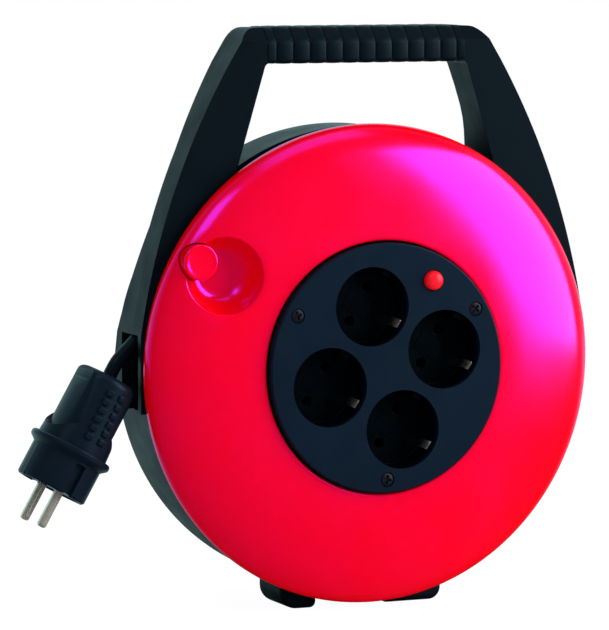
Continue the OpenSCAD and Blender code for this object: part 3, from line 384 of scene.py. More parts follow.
def turned(name, profile, steps, axis="Y", closed=False):
    """Spins a profile of (radius, distance along the axis) in mm about an axis at the origin."""
    if closed:
        profile = profile + profile[:1]
    along = Vector((0, MM, 0)) if axis == "Y" else Vector((0, 0, MM))
    piece = draw(name, [Vector((r * MM, 0, 0)) + d * along for r, d in profile])
    if closed:
        bpy.ops.mesh.select_all(action="SELECT")
        bpy.ops.mesh.remove_doubles(threshold=MERGE_GAP)
    bpy.ops.mesh.select_all(action="SELECT")
    bpy.ops.mesh.spin(steps=steps, angle=FULL_TURN, center=(0, 0, 0), axis=along.normalized())
    tidy_mesh()
    settle(piece)
    return piece


def peg(name, radius, start, stop, steps, axis="Y"):
    """A plain round peg from start to stop along the axis."""
    return turned(name, [(0, start), (radius, start), (radius, stop), (0, stop)], steps, axis)


def thickened(name, points, way):
    """A flat face through the points, drawn out along the way."""
    piece = draw(name, points)
    bpy.ops.mesh.select_all(action="SELECT")
    bpy.ops.mesh.edge_face_add()
    bpy.ops.mesh.extrude_region_move(TRANSFORM_OT_translate={"value": way})
    tidy_mesh()
    settle(piece)
    return piece


def slab(name, outline, y0, y1):
    """A plate whose front view is the outline of (x, z), from depth y0 to y1."""
    return thickened(name, [at(x, y0, z) for x, z in outline], (0, (y1 - y0) * MM, 0))


def bar(name, section, x0, x1):
    """A bar whose side view is the section of (y, z), from x0 to x1."""
    return thickened(name, [at(x0, y, z) for y, z in section], ((x1 - x0) * MM, 0, 0))


def brick(name, x0, x1, y0, y1, z0, z1, rounding=0.0, segments=3):
    """A block in plain mm about the origin, with rounded edges."""
    drop_selection()
    bpy.ops.mesh.primitive_cube_add(size=1)
    piece = bpy.context.object
    piece.name = piece.data.name = name
    piece.location = Vector(((x0 + x1) / 2, (y0 + y1) / 2, (z0 + z1) / 2)) * MM
    piece.scale = Vector((x1 - x0, y1 - y0, z1 - z0)) * MM
    settle(piece)
    if rounding:
        pick(piece, "EDGE", lambda middle, way: True)
        bpy.ops.mesh.bevel(offset=rounding * MM, segments=segments, affect="EDGES")
        bpy.ops.object.mode_set(mode="OBJECT")
    return piece


def apply(piece, kind, **settings):
    """Adds a modifier and applies it."""
    hold(piece)
    modifier = piece.modifiers.new(kind.lower(), kind)
    for key, value in settings.items():
        setattr(modifier, key, value)
    bpy.ops.object.modifier_apply(modifier=modifier.name)
    return piece


def shape(piece, tool, operation="DIFFERENCE"):
    """Cuts the piece with a tool, or joins the tool to it, and removes the tool."""
    apply(piece, "BOOLEAN", object=tool, operation=operation, solver="EXACT")
    bpy.data.objects.remove(tool)
    return piece


def join(name, parts):
    """Makes several pieces one."""
    drop_selection()
    for part in parts:
        part.select_set(True)
    bpy.context.view_layer.objects.active = parts[0]
    if len(parts) > 1:
        bpy.ops.object.join()
    piece = bpy.context.object
    piece.name = piece.data.name = name
    return piece


def copy(piece, name):
    twin = piece.copy()
    twin.data = piece.data.copy()
    twin.name = twin.data.name = name
    bpy.context.scene.collection.objects.link(twin)
    return twin


def smooth(piece, degrees=32, even=True):
    hold(piece)
    bpy.ops.object.shade_smooth_by_angle(angle=math.radians(degrees))
    if even:
        apply(piece, "WEIGHTED_NORMAL", keep_sharp=True, weight=60, use_face_influence=True)
    return piece


def soften(piece, width, segments=2, degrees=32):
    """Rounds the piece's sharp edges."""
    apply(
        piece, "BEVEL", width=width * MM, segments=segments, limit_method="ANGLE",
        angle_limit=math.radians(degrees), use_clamp_overlap=True, miter_outer="MITER_ARC",
        face_strength_mode="FSTR_NEW",
    )
    return smooth(piece, 40)


def dress(piece, finish, slot, body, *nodes):
    """Gives the piece its finish, its body and the solids that it stands for."""
    piece.data.materials.clear()
    piece.data.materials.append(finish)
    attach(piece, body)
    if nodes:
        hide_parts(*nodes)
    return piece


def arc(x, y, radius, start, stop, steps):
    """Points of a circle's arc, from angle start to stop."""
    return [
        (x + radius * math.cos(math.radians(a)), y + radius * math.sin(math.radians(a)))
        for a in (start + (stop - start) * i / steps for i in range(steps + 1))
    ]


TO_AXIS = Matrix.Translation(at(0, 0, 0))
HUB_TURN = 60
TO_HUB = TO_AXIS @ Matrix.Rotation(math.radians(-HUB_TURN), 4, "Y")


# ---- Cord ----

CORD_Y = 18.4
CORD_R = 3.5
CORD_ROUTE = [
    (-82, 0, 61.5), (-92, 0, 48), (-102, 0, 34), (-111.3, -0.2, 21), (-117.6, -1.2, 14),
    (-123.5, -3, 9), (-128.2, -4.4, 4.48), (-132, -4.4, -2.1),
]
SPAN_POINTS = 4


def eased(points, per_span):
    """More points on the smooth line through the given ones."""
    ends = [2 * points[0] - points[1], *points, 2 * points[-1] - points[-2]]
    line = []
    for a, b, c, d in zip(ends, ends[1:], ends[2:], ends[3:]):
        for i in range(per_span):
            t = i / per_span
            line.append(0.5 * (
                2 * b + (c - a) * t + (2 * a - 5 * b + 4 * c - d) * t ** 2
                + (3 * b - a - 3 * c + d) * t ** 3
            ))
    return line + [points[-1]]


def tube(name, line, radius, around=5):
    """A round cable along a line of points."""
    data = bpy.data.curves.new(name, "CURVE")
    data.dimensions = "3D"
    data.bevel_depth = radius * MM
    data.bevel_resolution = around
    data.use_fill_caps = True
    spline = data.splines.new("POLY")
    spline.points.add(len(line) - 1)
    for point, spot in zip(spline.points, line):
        point.co = (*spot, 1)
    spline.use_smooth = True
    piece = bpy.data.objects.new(name, data)
    bpy.context.scene.collection.objects.link(piece)
    return piece


cord_line = eased([at(x, CORD_Y + y, z) for x, y, z in CORD_ROUTE], SPAN_POINTS)
supply_cord = tube("supply_cord", cord_line, CORD_R)
dress(supply_cord, cord_rubber, "cord_rubber", "casing", "cord")


# ---- Plug ----

PLUG_LEAN = 30
PLUG_ROLL = 7
TO_PLUG = (
    Matrix.Translation(cord_line[-1])
    @ Matrix.Rotation(math.radians(180 + PLUG_LEAN), 4, "Y")
    @ Matrix.Rotation(math.radians(-PLUG_ROLL), 4, "Z")
)
TAIL_R = 15.8
TAIL_EDGE = 4
GRIP_R = 18.2
GRIP_L = 38.5
COLLAR_R = 21
FRONT_R = 18
FRONT_Z = 43.5
FACE_Z = 61
PIN_R = 2.4
PIN_AT = 9.5
BUMP_ANGLE = 78
BUMP_PITCH = 4.6
PANEL_R = 22.4
PANEL_X = 14.6
PANEL_EDGE_X = 9
PANEL_END_R = 18
PANEL_END_Z = 34


def lifted(x, y, z):
    return Matrix.Translation(Vector((x, y, z)) * MM)


def plug_body():
    body = turned(
        "plug_shell",
        [(0, 0), (4.6, 0), (5.2, 0.7), (8, 0.2), (TAIL_R - TAIL_EDGE, 0)]
        + arc(TAIL_R - TAIL_EDGE, TAIL_EDGE, TAIL_EDGE, -90, 0, 8)[1:]
        + [(GRIP_R, GRIP_L), (COLLAR_R - 0.7, GRIP_L), (COLLAR_R, GRIP_L + 0.8), (COLLAR_R, 40.9),
           (COLLAR_R - 0.4, 41.6), (FRONT_R + 0.5, 43.3), (FRONT_R, FRONT_Z + 0.3)]
        + [(FRONT_R, FACE_Z - 0.9), (FRONT_R - 0.8, FACE_Z), (15.9, FACE_Z), (15.3, FACE_Z - 0.8),
           (0, FACE_Z - 0.8)],
        96, "Z",
    )
    # Flatter thumb panels, each with a rounded lower end
    for side in (-1, 1):
        window = brick("window", PANEL_EDGE_X, 30, -24, 24, -3, PANEL_END_Z - PANEL_END_R)
        end = peg("end", PANEL_END_R, PANEL_EDGE_X, 30, 96, "Z")
        sideways = Matrix.Rotation(math.radians(90), 4, "Y")
        place(end, lifted(0, 0, PANEL_END_Z - PANEL_END_R) @ sideways)
        shape(window, end, "UNION")
        core = peg("core", PANEL_R, -6, 50, 192, "Z")
        shape(window, place(core, lifted(PANEL_X - PANEL_R, 0, 0)))
        # A shallow dish at the tail's end of the panel
        dish = place(peg("dish", 30, -40, 40, 128), lifted(PANEL_X + 28.4, 0, 2))
        near = brick("near", PANEL_EDGE_X - 3, 30, -11, 11, -3, 12)
        shape(dish, near, "INTERSECT")
        shape(window, dish, "UNION")
        if side < 0:
            place(window, Matrix.Rotation(math.radians(180), 4, "Z"))
        shape(body, window)
    # Rows of gripping bumps
    bumps = []
    for side_x in (-1, 1):
        for side_y in (-1, 1):
            across, along = polar(1, BUMP_ANGLE)
            angle = math.atan2(side_y * along, side_x * across)
            for i in range(6):
                z = 8 + i * BUMP_PITCH
                r = TAIL_R + (z - TAIL_EDGE) * (GRIP_R - TAIL_R) / (GRIP_L - TAIL_EDGE) - 0.5
                bump = brick("bump", -1.6, 1.7, -2, 2, -1.55, 1.55, 0.6, 2)
                bumps.append(place(bump, lifted(
                    r * math.cos(angle), r * math.sin(angle), z
                ) @ Matrix.Rotation(angle, 4, "Z")))
    shape(body, join("bumps", bumps), "UNION")
    # Guide notches on the pin line, seats of the earth strips, and holes for the pins
    for side in (-1, 1):
        notch = brick("notch", -2.7, 2.7, -2.6, 2.6, FRONT_Z + 1.5, FACE_Z + 2)
        shape(body, place(notch, lifted(0, side * FRONT_R, 0)))
        seat = brick("seat", -1, 1, -2.1, 2.1, FRONT_Z + 1.4, FACE_Z + 2)
        shape(body, place(seat, lifted(side * FRONT_R, 0, 0)))
        hole = peg("hole", PIN_R + 0.4, FACE_Z - 3, 70, 32, "Z")
        shape(body, place(hole, lifted(0, side * PIN_AT, 0)))
    soften(body, 0.35, 2, 24)
    place(body, TO_PLUG)
    return dress(body, plug_rubber, "plug_rubber", "casing", "plug_body")


def plug_pins():
    pins = []
    for side in (-1, 1):
        pin = turned(
            "pin",
            [(0, FACE_Z - 8), (1.9, FACE_Z - 8), (1.9, FACE_Z - 0.6), (PIN_R, FACE_Z - 0.4),
             (PIN_R, 78)]
            + arc(0.9, 78.4, 1.5, 0, 70, 5) + [(0, 80)],
            40, "Z",
        )
        pins.append(place(pin, Matrix.Translation((0, side * PIN_AT * MM, 0))))
    pair = join("plug_pin_pair", pins)
    smooth(pair, 40, False)
    place(pair, TO_PLUG)
    return dress(pair, nickel, "nickel", "casing", "plug_pins")


plug_shell = plug_body()
plug_pin_pair = plug_pins()


# ---- Winding disc ----

DOME_IN = 62.5
DOME_W = 56.4
DOME_RISE = 18.5
RIM_R = 118.9
WALL = 2.8
SKIRT_Y = 2
SCOOP = polar(95.5, 150)
SCOOP_R = 19
SCOOP_FLOOR_R = 8
SCOOP_FLOOR_Y = -1.3
KNOB = polar(108.3, 150)
POCKET_R = 9.3
POCKET_Y = -0.3
DOME_RINGS = 44
SKIN = 0.25
SCOOP_REACH = 6
SCOOP_BLEND = 5.0
SCOOP_FADE_END = 4.2
SCOOP_FADE = 3
SCOOP_BACK_STRETCH = 1.15


def dome_y(r, wall=0.0):
    t = min(max((r - DOME_IN) / (DOME_W - wall), 0), 1)
    return -(DOME_RISE - wall) * math.sqrt(1 - t * t)


def scoop_y(x, z, stretch=1.0):
    """Depth of the scoop's surface, which runs on outside its edge."""
    r = scoop_distance(x, z) / stretch
    wall = min(max((r - SCOOP_FLOOR_R) / (SCOOP_R - SCOOP_FLOOR_R), 0), 1)
    rise = DOME_RISE + SCOOP_FLOOR_Y
    return SCOOP_FLOOR_Y - rise * (1 - math.sqrt(1 - wall * wall)) - 2.5 * max(0, r - SCOOP_R)


def scoop_distance(x, z):
    return math.hypot(x - SCOOP[0], z - SCOOP[1])


def knob_distance(x, z):
    return math.hypot(x - KNOB[0], z - KNOB[1])


def winding_disc():
    profile = [(DOME_IN, 3), (DOME_IN, -17.4)] + arc(DOME_IN + 1.1, -17.4, 1.1, 180, 270, 4)[1:]
    for i in range(1, DOME_RINGS + 1):
        t = math.radians(90 * i / DOME_RINGS)
        if DOME_IN + DOME_W * math.sin(t) > 64.2:
            profile.append((DOME_IN + DOME_W * math.sin(t), -DOME_RISE * math.cos(t)))
    profile += [(RIM_R, 1.5), (RIM_R - 0.5, SKIRT_Y), (RIM_R - WALL, SKIRT_Y)]
    back_rings = DOME_RINGS // 2
    for i in range(back_rings, 0, -1):
        t = math.radians(90 * i / back_rings)
        profile.append((DOME_IN + (DOME_W - WALL) * math.sin(t), -(DOME_RISE - WALL) * math.cos(t)))
    profile += [(DOME_IN + 2.5, -15.6), (DOME_IN + 2.5, 3)]
    disc = turned("winding_disc", profile, 360, closed=True)

    def outside(p):
        r = math.hypot(p.x, p.z) / MM
        return r < RIM_R - 0.01 and abs(p.y / MM - dome_y(r)) < SKIN

    def in_reach(p, normal):
        x, z = p.x / MM, p.z / MM
        near_scoop = scoop_distance(x, z) < SCOOP_R + 4.5
        return (near_scoop or knob_distance(x, z) < POCKET_R + 2) and outside(p)

    pick(disc, "FACE", in_reach)
    bpy.ops.mesh.subdivide(number_cuts=4)
    bpy.ops.object.mode_set(mode="OBJECT")
    for v in disc.data.vertices:
        x, y, z = v.co / MM
        r = math.hypot(x, z)
        if scoop_distance(x, z) > SCOOP_R + SCOOP_REACH:
            continue
        if outside(v.co):
            d = knob_distance(x, z)
            if abs(d - POCKET_R) < 0.3:
                # The pocket's edge is a clean circle
                target = POCKET_R + (0.03 if d > POCKET_R else -0.03)
                x = KNOB[0] + (x - KNOB[0]) * target / d
                z = KNOB[1] + (z - KNOB[1]) * target / d
                d = target
                r = math.hypot(x, z)
            a, b = dome_y(min(r, RIM_R)), scoop_y(x, z)
            y = (a + b + math.sqrt((a - b) ** 2 + SCOOP_BLEND)) / 2
            edge = scoop_distance(x, z) - SCOOP_R
            y = a + (y - a) * min(max((SCOOP_FADE_END - edge) / SCOOP_FADE, 0), 1)
            if d < POCKET_R:
                y = max(y, POCKET_Y)
            v.co = Vector((x, y, z)) * MM
        elif abs(y - dome_y(r, WALL)) < 0.3 and r < RIM_R - WALL + 0.05:
            y = max(y, scoop_y(x, z, SCOOP_BACK_STRETCH) + WALL)
            if knob_distance(x, z) < POCKET_R + WALL:
                y = SKIRT_Y - 0.2
            v.co.y = min(y, SKIRT_Y - 0.2) * MM
    smooth(disc, 40, False)
    place(disc, TO_AXIS)
    return dress(disc, red_plastic, "red_plastic", "drum", "front_disc")


def swivel_knob():
    knob = turned(
        "swivel_knob",
        [(0, -11.4), (5.2, -11.45), (6.6, -11.6), (7.3, -11.8)]
        + arc(7.9, -10.9, 0.9, -90, 0, 6)
        + [(8.8, -1.2), (8.6, -0.7), (8.2, -0.5), (0, -0.5)],
        96,
    )
    smooth(knob, 40, False)
    place(knob, TO_AXIS @ Matrix.Translation((KNOB[0] * MM, 0, KNOB[1] * MM)))
    return dress(knob, red_plastic, "red_plastic", "knob", "winding_knob")


winding_disc()
swivel_knob()


# ---- Hub ----

PLATE_R = 61.6
PLATE_Y = -22
PLATE_BACK_Y = -19
SOCKET_R = 19.5
CUP_R = 21.3
SOCKET_FLOOR_Y = -4.5
SOCKET_BACK_Y = -2.5
SOCKET_XY = 31.6 / math.sqrt(2)
SCREW_AT = 55
SCREW_ANGLES = (-30, 90, 210)
BUTTON_AT = 49
CUPS = {
    "right": (SOCKET_XY, -SOCKET_XY), "top": (SOCKET_XY, SOCKET_XY),
    "left": (-SOCKET_XY, SOCKET_XY), "bottom": (-SOCKET_XY, -SOCKET_XY),
}


def moved(x, z):
    return Matrix.Translation((x * MM, 0, z * MM))


def hub_plate():
    plate = turned(
        "hub_plate",
        [(0, PLATE_Y), (PLATE_R - 0.9, PLATE_Y)]
        + arc(PLATE_R - 0.9, PLATE_Y + 0.9, 0.9, -90, 0, 4)[1:]
        + [(PLATE_R, -14), (59.2, -14), (59.2, PLATE_BACK_Y), (0, PLATE_BACK_Y)],
        240,
    )
    for x, z in CUPS.values():
        shape(plate, place(peg("bore", SOCKET_R, -24, -10, 96), moved(x, z)))
    for angle in SCREW_ANGLES:
        sink = turned(
            "sink",
            [(0, -24), (3.9, -24), (3.65, PLATE_Y + 0.3), (3.65, -20.1), (1.9, -20.1), (1.9, -10),
             (0, -10)],
            48,
        )
        shape(plate, place(sink, moved(*polar(SCREW_AT, angle))))
    hole = turned(
        "hole", [(0, -24), (5.4, -24), (5.3, PLATE_Y), (5.0, -21.6), (5.0, -10), (0, -10)], 64
    )
    shape(plate, place(hole, moved(BUTTON_AT, 0)))
    soften(plate, 0.35, 2, 40)
    place(plate, TO_HUB)
    return dress(plate, hub_plastic, "hub_plastic", "drum", "socket_plate")


def socket_cups():
    cup = turned(
        "cup",
        [(0, SOCKET_FLOOR_Y)] + arc(SOCKET_R - 0.8, SOCKET_FLOOR_Y - 0.8, 0.8, 90, 0, 4)
        + [(SOCKET_R, PLATE_BACK_Y), (CUP_R, PLATE_BACK_Y), (CUP_R, SOCKET_BACK_Y),
           (0, SOCKET_BACK_Y)],
        96,
    )
    for side in (-1, 1):
        rib = brick(
            "rib", side * SOCKET_R - 2.5, side * SOCKET_R + 1, PLATE_BACK_Y + 0.4,
            SOCKET_FLOOR_Y + 0.5, -2.4, 2.4,
        )
        shape(cup, rib, "UNION")
        shape(cup, place(peg("pin_hole", 2.6, -8, 0, 40), moved(side * PIN_AT, 0)))
        shape(cup, brick("clip_slot", -2.45, 2.45, -8, 0, side * 18.8 - 0.6, side * 18.8 + 0.6))
    # A raised island between the pin holes
    island = brick("island", -5.2, 5.2, SOCKET_FLOOR_Y - 0.3, SOCKET_FLOOR_Y + 0.5, -7.5, 7.5)
    shape(cup, island, "UNION")
    soften(cup, 0.3, 2, 40)
    for name, (x, z) in CUPS.items():
        one = copy(cup, f"hub_cup_{name}")
        place(one, TO_HUB @ moved(x, z))
        # The cups take the darker plastic, which paints shade into the recesses.
        dress(one, cup_painted_shade_plastic, "hub_plastic", "drum", f"socket_cup_{name}")
    bpy.data.objects.remove(cup)


def earth_springs():
    """Sprung legs of nickel strip at two sides of each recess."""
    half_w = 2.25
    line = [
        (18.8, -2.6), (18.8, -6), (17.6, -8.6), (16.7, -11.2), (16.9, -13.4), (18, -15.8),
        (19.0, -17.2),
    ]
    legs = []
    for side in (-1, 1):
        leg = draw("leg", [Vector((-half_w, y, side * z)) * MM for z, y in line])
        bpy.ops.mesh.select_all(action="SELECT")
        bpy.ops.mesh.extrude_edges_move(TRANSFORM_OT_translate={"value": (2 * half_w * MM, 0, 0)})
        tidy_mesh()
        settle(leg)
        apply(leg, "SOLIDIFY", thickness=0.7 * MM, offset=0)
        soften(leg, 0.15, 2, 50)
        legs.append(leg)
    springs = []
    for name, (x, z) in CUPS.items():
        for i, leg in enumerate(legs):
            springs.append(place(copy(leg, f"leg_{name}_{i}"), TO_HUB @ moved(x, z)))
    for leg in legs:
        bpy.data.objects.remove(leg)
    return dress(join("earth_springs", springs), spring_nickel, "nickel", "drum", "earth_clips")


def cross_screw(name, head_r, head_y, head_t, shank_r, tip_y, turn):
    screw = turned(
        name,
        [(0, head_y - 0.1), (head_r * 0.6, head_y - 0.05), (head_r - 0.35, head_y + 0.15),
         (head_r, head_y + 0.5), (head_r, head_y + head_t), (shank_r, head_y + head_t),
         (shank_r, tip_y), (0, tip_y)],
        48,
    )
    for a in (0, 90):
        slot = brick("slot", -head_r * 0.66, head_r * 0.66, head_y - 1, head_y + 1.1, -0.55, 0.55)
        shape(screw, place(slot, Matrix.Rotation(math.radians(a + turn), 4, "Y")))
    return soften(screw, 0.1, 1, 40)


def hub_screws():
    for i, (angle, turn) in enumerate(zip(SCREW_ANGLES, (12, 40, 71))):
        screw = cross_screw(f"hub_screw_{i + 1}", 3.5, PLATE_Y + 0.3, 1.6, 1.75, -1, turn)
        place(screw, TO_HUB @ moved(*polar(SCREW_AT, angle)))
        dress(screw, blackened_steel, "blackened_steel", "drum", "plate_screws")


def cutout_button():
    button = turned(
        "cutout_button",
        [(0, -26), (1.2, -25.95), (2.3, -25.75), (3.2, -25.35), (3.9, -24.75), (4.4, -24),
         (4.7, -23.1), (4.8, -22), (4.8, -18.8), (6.45, -18.8), (6.45, -17.3), (2, -17.3),
         (2, -3), (0, -3)],
        64,
    )
    smooth(button, 40, False)
    place(button, TO_HUB @ moved(BUTTON_AT, 0))
    return dress(button, button_plastic, "button_plastic", "button", "reset_button")


hub_plate()
socket_cups()
earth_springs()
hub_screws()
cutout_button()


# ---- Casing ----

CASE_R = 115.2
CASE_BACK_R = 115.0
CASE_EDGE = 6
CASE_FRONT_Y = 3
CASE_BACK_Y = 54
SLOT_Y0 = 7.4
SLOT_Y1 = 29.4
OUTLET_IN_X = -107
OUTLET_SLANT = 1.3
OUTLET_BOTTOM = -20.5
EAR_ANGLE = 37.7
SEAM_Y = 14
BAND_IN_R = 113.5
BAR_BOTTOM = 149.2
OPENING_HALF_W = 53.8
OPENING_SLOPE = 0.298
OPENING_BOTTOM = 60
FRAME_HALF_W = 119.5


def outlet_top(x):
    """Height of the outlet slot's slanting top edge."""
    return 18 + (x + FRAME_HALF_W) * OUTLET_SLANT


def opening_x(z):
    """Half width of the hand opening at height z."""
    return OPENING_HALF_W + (BAR_BOTTOM - z) * OPENING_SLOPE


def bowl_tool(grow):
    """The casing's outside, moved out by grow."""
    return place(turned(
        "bowl_tool",
        [(0, CASE_FRONT_Y - grow), (CASE_R + grow, CASE_FRONT_Y - grow)]
        + arc(CASE_BACK_R - CASE_EDGE, CASE_BACK_Y - CASE_EDGE, CASE_EDGE + grow, 0, 90, 8)
        + [(0, CASE_BACK_Y + grow)],
        256,
    ), TO_AXIS)


def outlet_tool(x_out):
    return slab(
        "outlet_tool",
        [(x_out, OUTLET_BOTTOM), (OUTLET_IN_X, OUTLET_BOTTOM),
         (OUTLET_IN_X, outlet_top(OUTLET_IN_X)), (x_out, outlet_top(x_out))],
        SLOT_Y0, SLOT_Y1,
    )


def casing_bowl():
    edge = arc(CASE_BACK_R - CASE_EDGE, CASE_BACK_Y - CASE_EDGE, CASE_EDGE, 0, 90, 8)
    bowl = turned(
        "casing_bowl",
        [(0, 46.4), (6, 46.4), (6, 28.4), (10, 28.4), (10, 50.7), (109, 50.7), (112.5, 48),
         (112.7, 3.4), (113.1, 3), (114.8, 3), (115.2, 3.4), (115.2, 20), (115.05, 36)]
        + edge + [(74.6, 54), (74, 53.7), (73.8, 53.2), (0, 53.2)],
        256,
    )
    place(bowl, TO_AXIS)
    # The raised band along the top, between the handle's legs
    band = turned(
        "band", [(BAND_IN_R, 16), (CASE_R + 2, 16), (CASE_R + 2, 48), (BAND_IN_R, 48)], 256,
        closed=True,
    )
    place(band, TO_AXIS)
    low, high = opening_x(OPENING_BOTTOM), opening_x(170)
    shape(band, slab(
        "between",
        [(-low - 0.3, OPENING_BOTTOM), (low - 0.3, OPENING_BOTTOM), (high - 0.3, 170),
         (0.3 - high, 170)],
        0, 60,
    ), "INTERSECT")
    shape(bowl, band, "UNION")
    shape(bowl, outlet_tool(-117))
    for angle in (EAR_ANGLE, 180 - EAR_ANGLE):
        ear = slab(
            "ear",
            [(114, -4.6), (124.9, -4.6), (127.2, -2.3), (127.2, 2.3), (124.9, 4.6), (114, 4.6)],
            SEAM_Y, SEAM_Y + 2,
        )
        place(ear, TO_AXIS @ Matrix.Rotation(math.radians(-angle), 4, "Y") @ TO_AXIS.inverted())
        shape(bowl, ear, "UNION")
    soften(bowl, 0.4, 2, 40)
    return dress(bowl, black_plastic, "black_plastic", "casing", "rear_housing")


def rubber_feet():
    for name, side, x_in, x_out, edge in (("left", -1, 23.7, 43, 9), ("right", 1, 12, 44.6, 6.3)):
        outline = [(x_in, -122), (x_out - edge, -122)]
        outline += arc(x_out - edge, edge - 122, edge, -90, 0, 8)[1:] + [(x_out, -92), (x_in, -92)]
        foot = slab("foot", [(side * x, z) for x, z in outline], 10, 41)
        foot.name = foot.data.name = f"rubber_foot_{name}"
        soften(foot, 3.2, 5, 35)
        shape(foot, bowl_tool(0.1))
        soften(foot, 0.5, 2, 45)
        dress(foot, black_rubber, "black_rubber", "casing", f"foot_{name}")


casing_bowl()
rubber_feet()


# ---- Handle frame ----

FRAME_TOP = 166.2
FRONT_Y = 3
BACK_Y = 27
WAIST_Y = 21.5
WAIST_TOP = 107
DEEP_TOP = 70
BEVEL = 6.5
FLANGE = [
    (27, 149), (25.3, 136), (25, 126), (26, 119.5), (28.5, 113), (33, 104.5), (40, 98), (46, 94),
    (46, 84.9),
]
HANDLE_SCREWS = (
    (-61.2, 156.7, BACK_Y), (61.2, 156.7, BACK_Y), (-97, 75, WAIST_Y), (97, 75, WAIST_Y),
)


def side_x(z):
    """Half width of the frame at height z."""
    return min(FRAME_HALF_W, -241.62 + math.sqrt(365.12 ** 2 - (z + 36) ** 2))


def frame_outline():
    right = [(FRAME_HALF_W, -20), (FRAME_HALF_W, 17.9)]
    right += [(side_x(z), z) for z in range(24, 156, 6)]
    start, corner, stop = (side_x(160.5), 160.5), (62.2, FRAME_TOP), (57.5, FRAME_TOP)
    for i in range(9):
        t = i / 8
        right.append(tuple(
            a * (1 - t) ** 2 + 2 * b * t * (1 - t) + c * t * t
            for a, b, c in zip(start, corner, stop)
        ))
    return right + [(-x, z) for x, z in reversed(right)]


def opening_tool():
    low, high = opening_x(OPENING_BOTTOM), opening_x(BAR_BOTTOM)
    tool = slab(
        "opening_tool",
        [(-low, OPENING_BOTTOM), (low, OPENING_BOTTOM), (high, BAR_BOTTOM), (-high, BAR_BOTTOM)],
        0, 50,
    )
    pick(tool, "EDGE", lambda middle, way: abs(way.y) > 0.9 and middle.z > at(0, 0, 100).z)
    bpy.ops.mesh.bevel(offset=2.2 * MM, segments=4, affect="EDGES")
    bpy.ops.object.mode_set(mode="OBJECT")
    return tool


def frame_front():
    half = slab("frame_front", frame_outline(), FRONT_Y, SEAM_Y)
    shape(half, bar(
        "bevel_tool",
        [(FRONT_Y - 2, FRAME_TOP - BEVEL - 2), (FRONT_Y - 2, FRAME_TOP + 2),
         (FRONT_Y + BEVEL + 2, FRAME_TOP + 2)],
        -125, 125,
    ))
    shape(half, opening_tool())
    shape(half, bowl_tool(0.2))
    shape(half, outlet_tool(-120.5))
    soften(half, 0.7, 3, 28)
    return dress(half, black_plastic, "black_plastic", "casing", "handle_front")


def frame_back():
    deep_y, far_y = 41, 50
    half = slab("frame_back", frame_outline(), SEAM_Y, deep_y)
    shape(half, bar(
        "depth_tool",
        [(BACK_Y, 170), (BACK_Y, BAR_BOTTOM), (WAIST_Y, WAIST_TOP), (WAIST_Y, DEEP_TOP),
         (deep_y, 0), (deep_y, -30), (far_y, -30), (far_y, 170)],
        -125, 125,
    ))
    # A flange on each leg's back beside the hand opening
    for side in (-1, 1):
        flange = bar("flange", [(16, 84.9), (16, 149)] + FLANGE, -125, 125)
        shape(flange, slab(
            "strip",
            [(side * (opening_x(z) + more), z)
             for z, more in ((60, -3), (60, 8.3), (150, 8.3), (150, -3))],
            0, 60,
        ), "INTERSECT")
        shape(half, flange, "UNION")
    shape(half, opening_tool())
    shape(half, bowl_tool(0.2))
    shape(half, outlet_tool(-120.5))
    for x, z, face_y in HANDLE_SCREWS:
        sink = peg("sink", 3.3, face_y - 2.4, face_y + 3, 40)
        shape(half, place(sink, TO_AXIS @ moved(x, z)))
    soften(half, 0.7, 3, 28)
    return dress(half, black_plastic, "black_plastic", "casing", "handle_back")


def ribbed_grip():
    half_l, pitch = 53, 8.8
    section = [(FRONT_Y, BAR_BOTTOM), (BACK_Y, BAR_BOTTOM), (BACK_Y, FRAME_TOP),
               (FRONT_Y + BEVEL, FRAME_TOP), (FRONT_Y, FRAME_TOP - BEVEL)]
    grip = draw("ribbed_grip", [at(-half_l, y, z) for y, z in section + section[:1]])
    bpy.ops.mesh.select_all(action="SELECT")
    bpy.ops.mesh.remove_doubles(threshold=MERGE_GAP)
    bpy.ops.mesh.select_all(action="SELECT")
    bpy.ops.mesh.bevel(offset=2 * MM, segments=4, affect="VERTICES")
    bpy.ops.mesh.select_all(action="SELECT")
    middle = at(0, (FRONT_Y + BACK_Y) / 2, (BAR_BOTTOM + FRAME_TOP) / 2)
    # How far the sleeve stands proud of the bar along it
    stations = [(-half_l, -0.2), (-half_l + 0.3, 0.35)]
    count = int(2 * half_l / pitch)
    for i in range(count):
        x = (i - (count - 1) / 2) * pitch
        groove = ((-1.1, 0.5), (-0.55, 0.35), (0, 0), (0.55, 0.35), (1.1, 0.5), (pitch / 2, 0.6))
        stations += [(x + more, proud) for more, proud in groove]
    stations = stations[:-1] + [(half_l - 0.3, 0.35), (half_l, -0.2)]
    last_x, last_g = -half_l, 0.0
    for x, g in stations:
        if x > last_x + 0.01:
            step = ((x - last_x) * MM, 0, 0)
            bpy.ops.mesh.extrude_edges_move(TRANSFORM_OT_translate={"value": step})
        scale = ((24 + 2 * g) / (24 + 2 * last_g), (17 + 2 * g) / (17 + 2 * last_g))
        center = (last_x * MM, middle.y, middle.z)
        bpy.ops.transform.resize(value=(1, *scale), center_override=center)
        last_x, last_g = x, g
    tidy_mesh()
    settle(grip)
    apply(grip, "SOLIDIFY", thickness=1.6 * MM, offset=-1)
    smooth(grip, 50, False)
    return dress(grip, grip_rubber, "grip_rubber", "casing", "handle_grip")


frame_front()
frame_back()
ribbed_grip()


# ---- Wound cord and leads ----

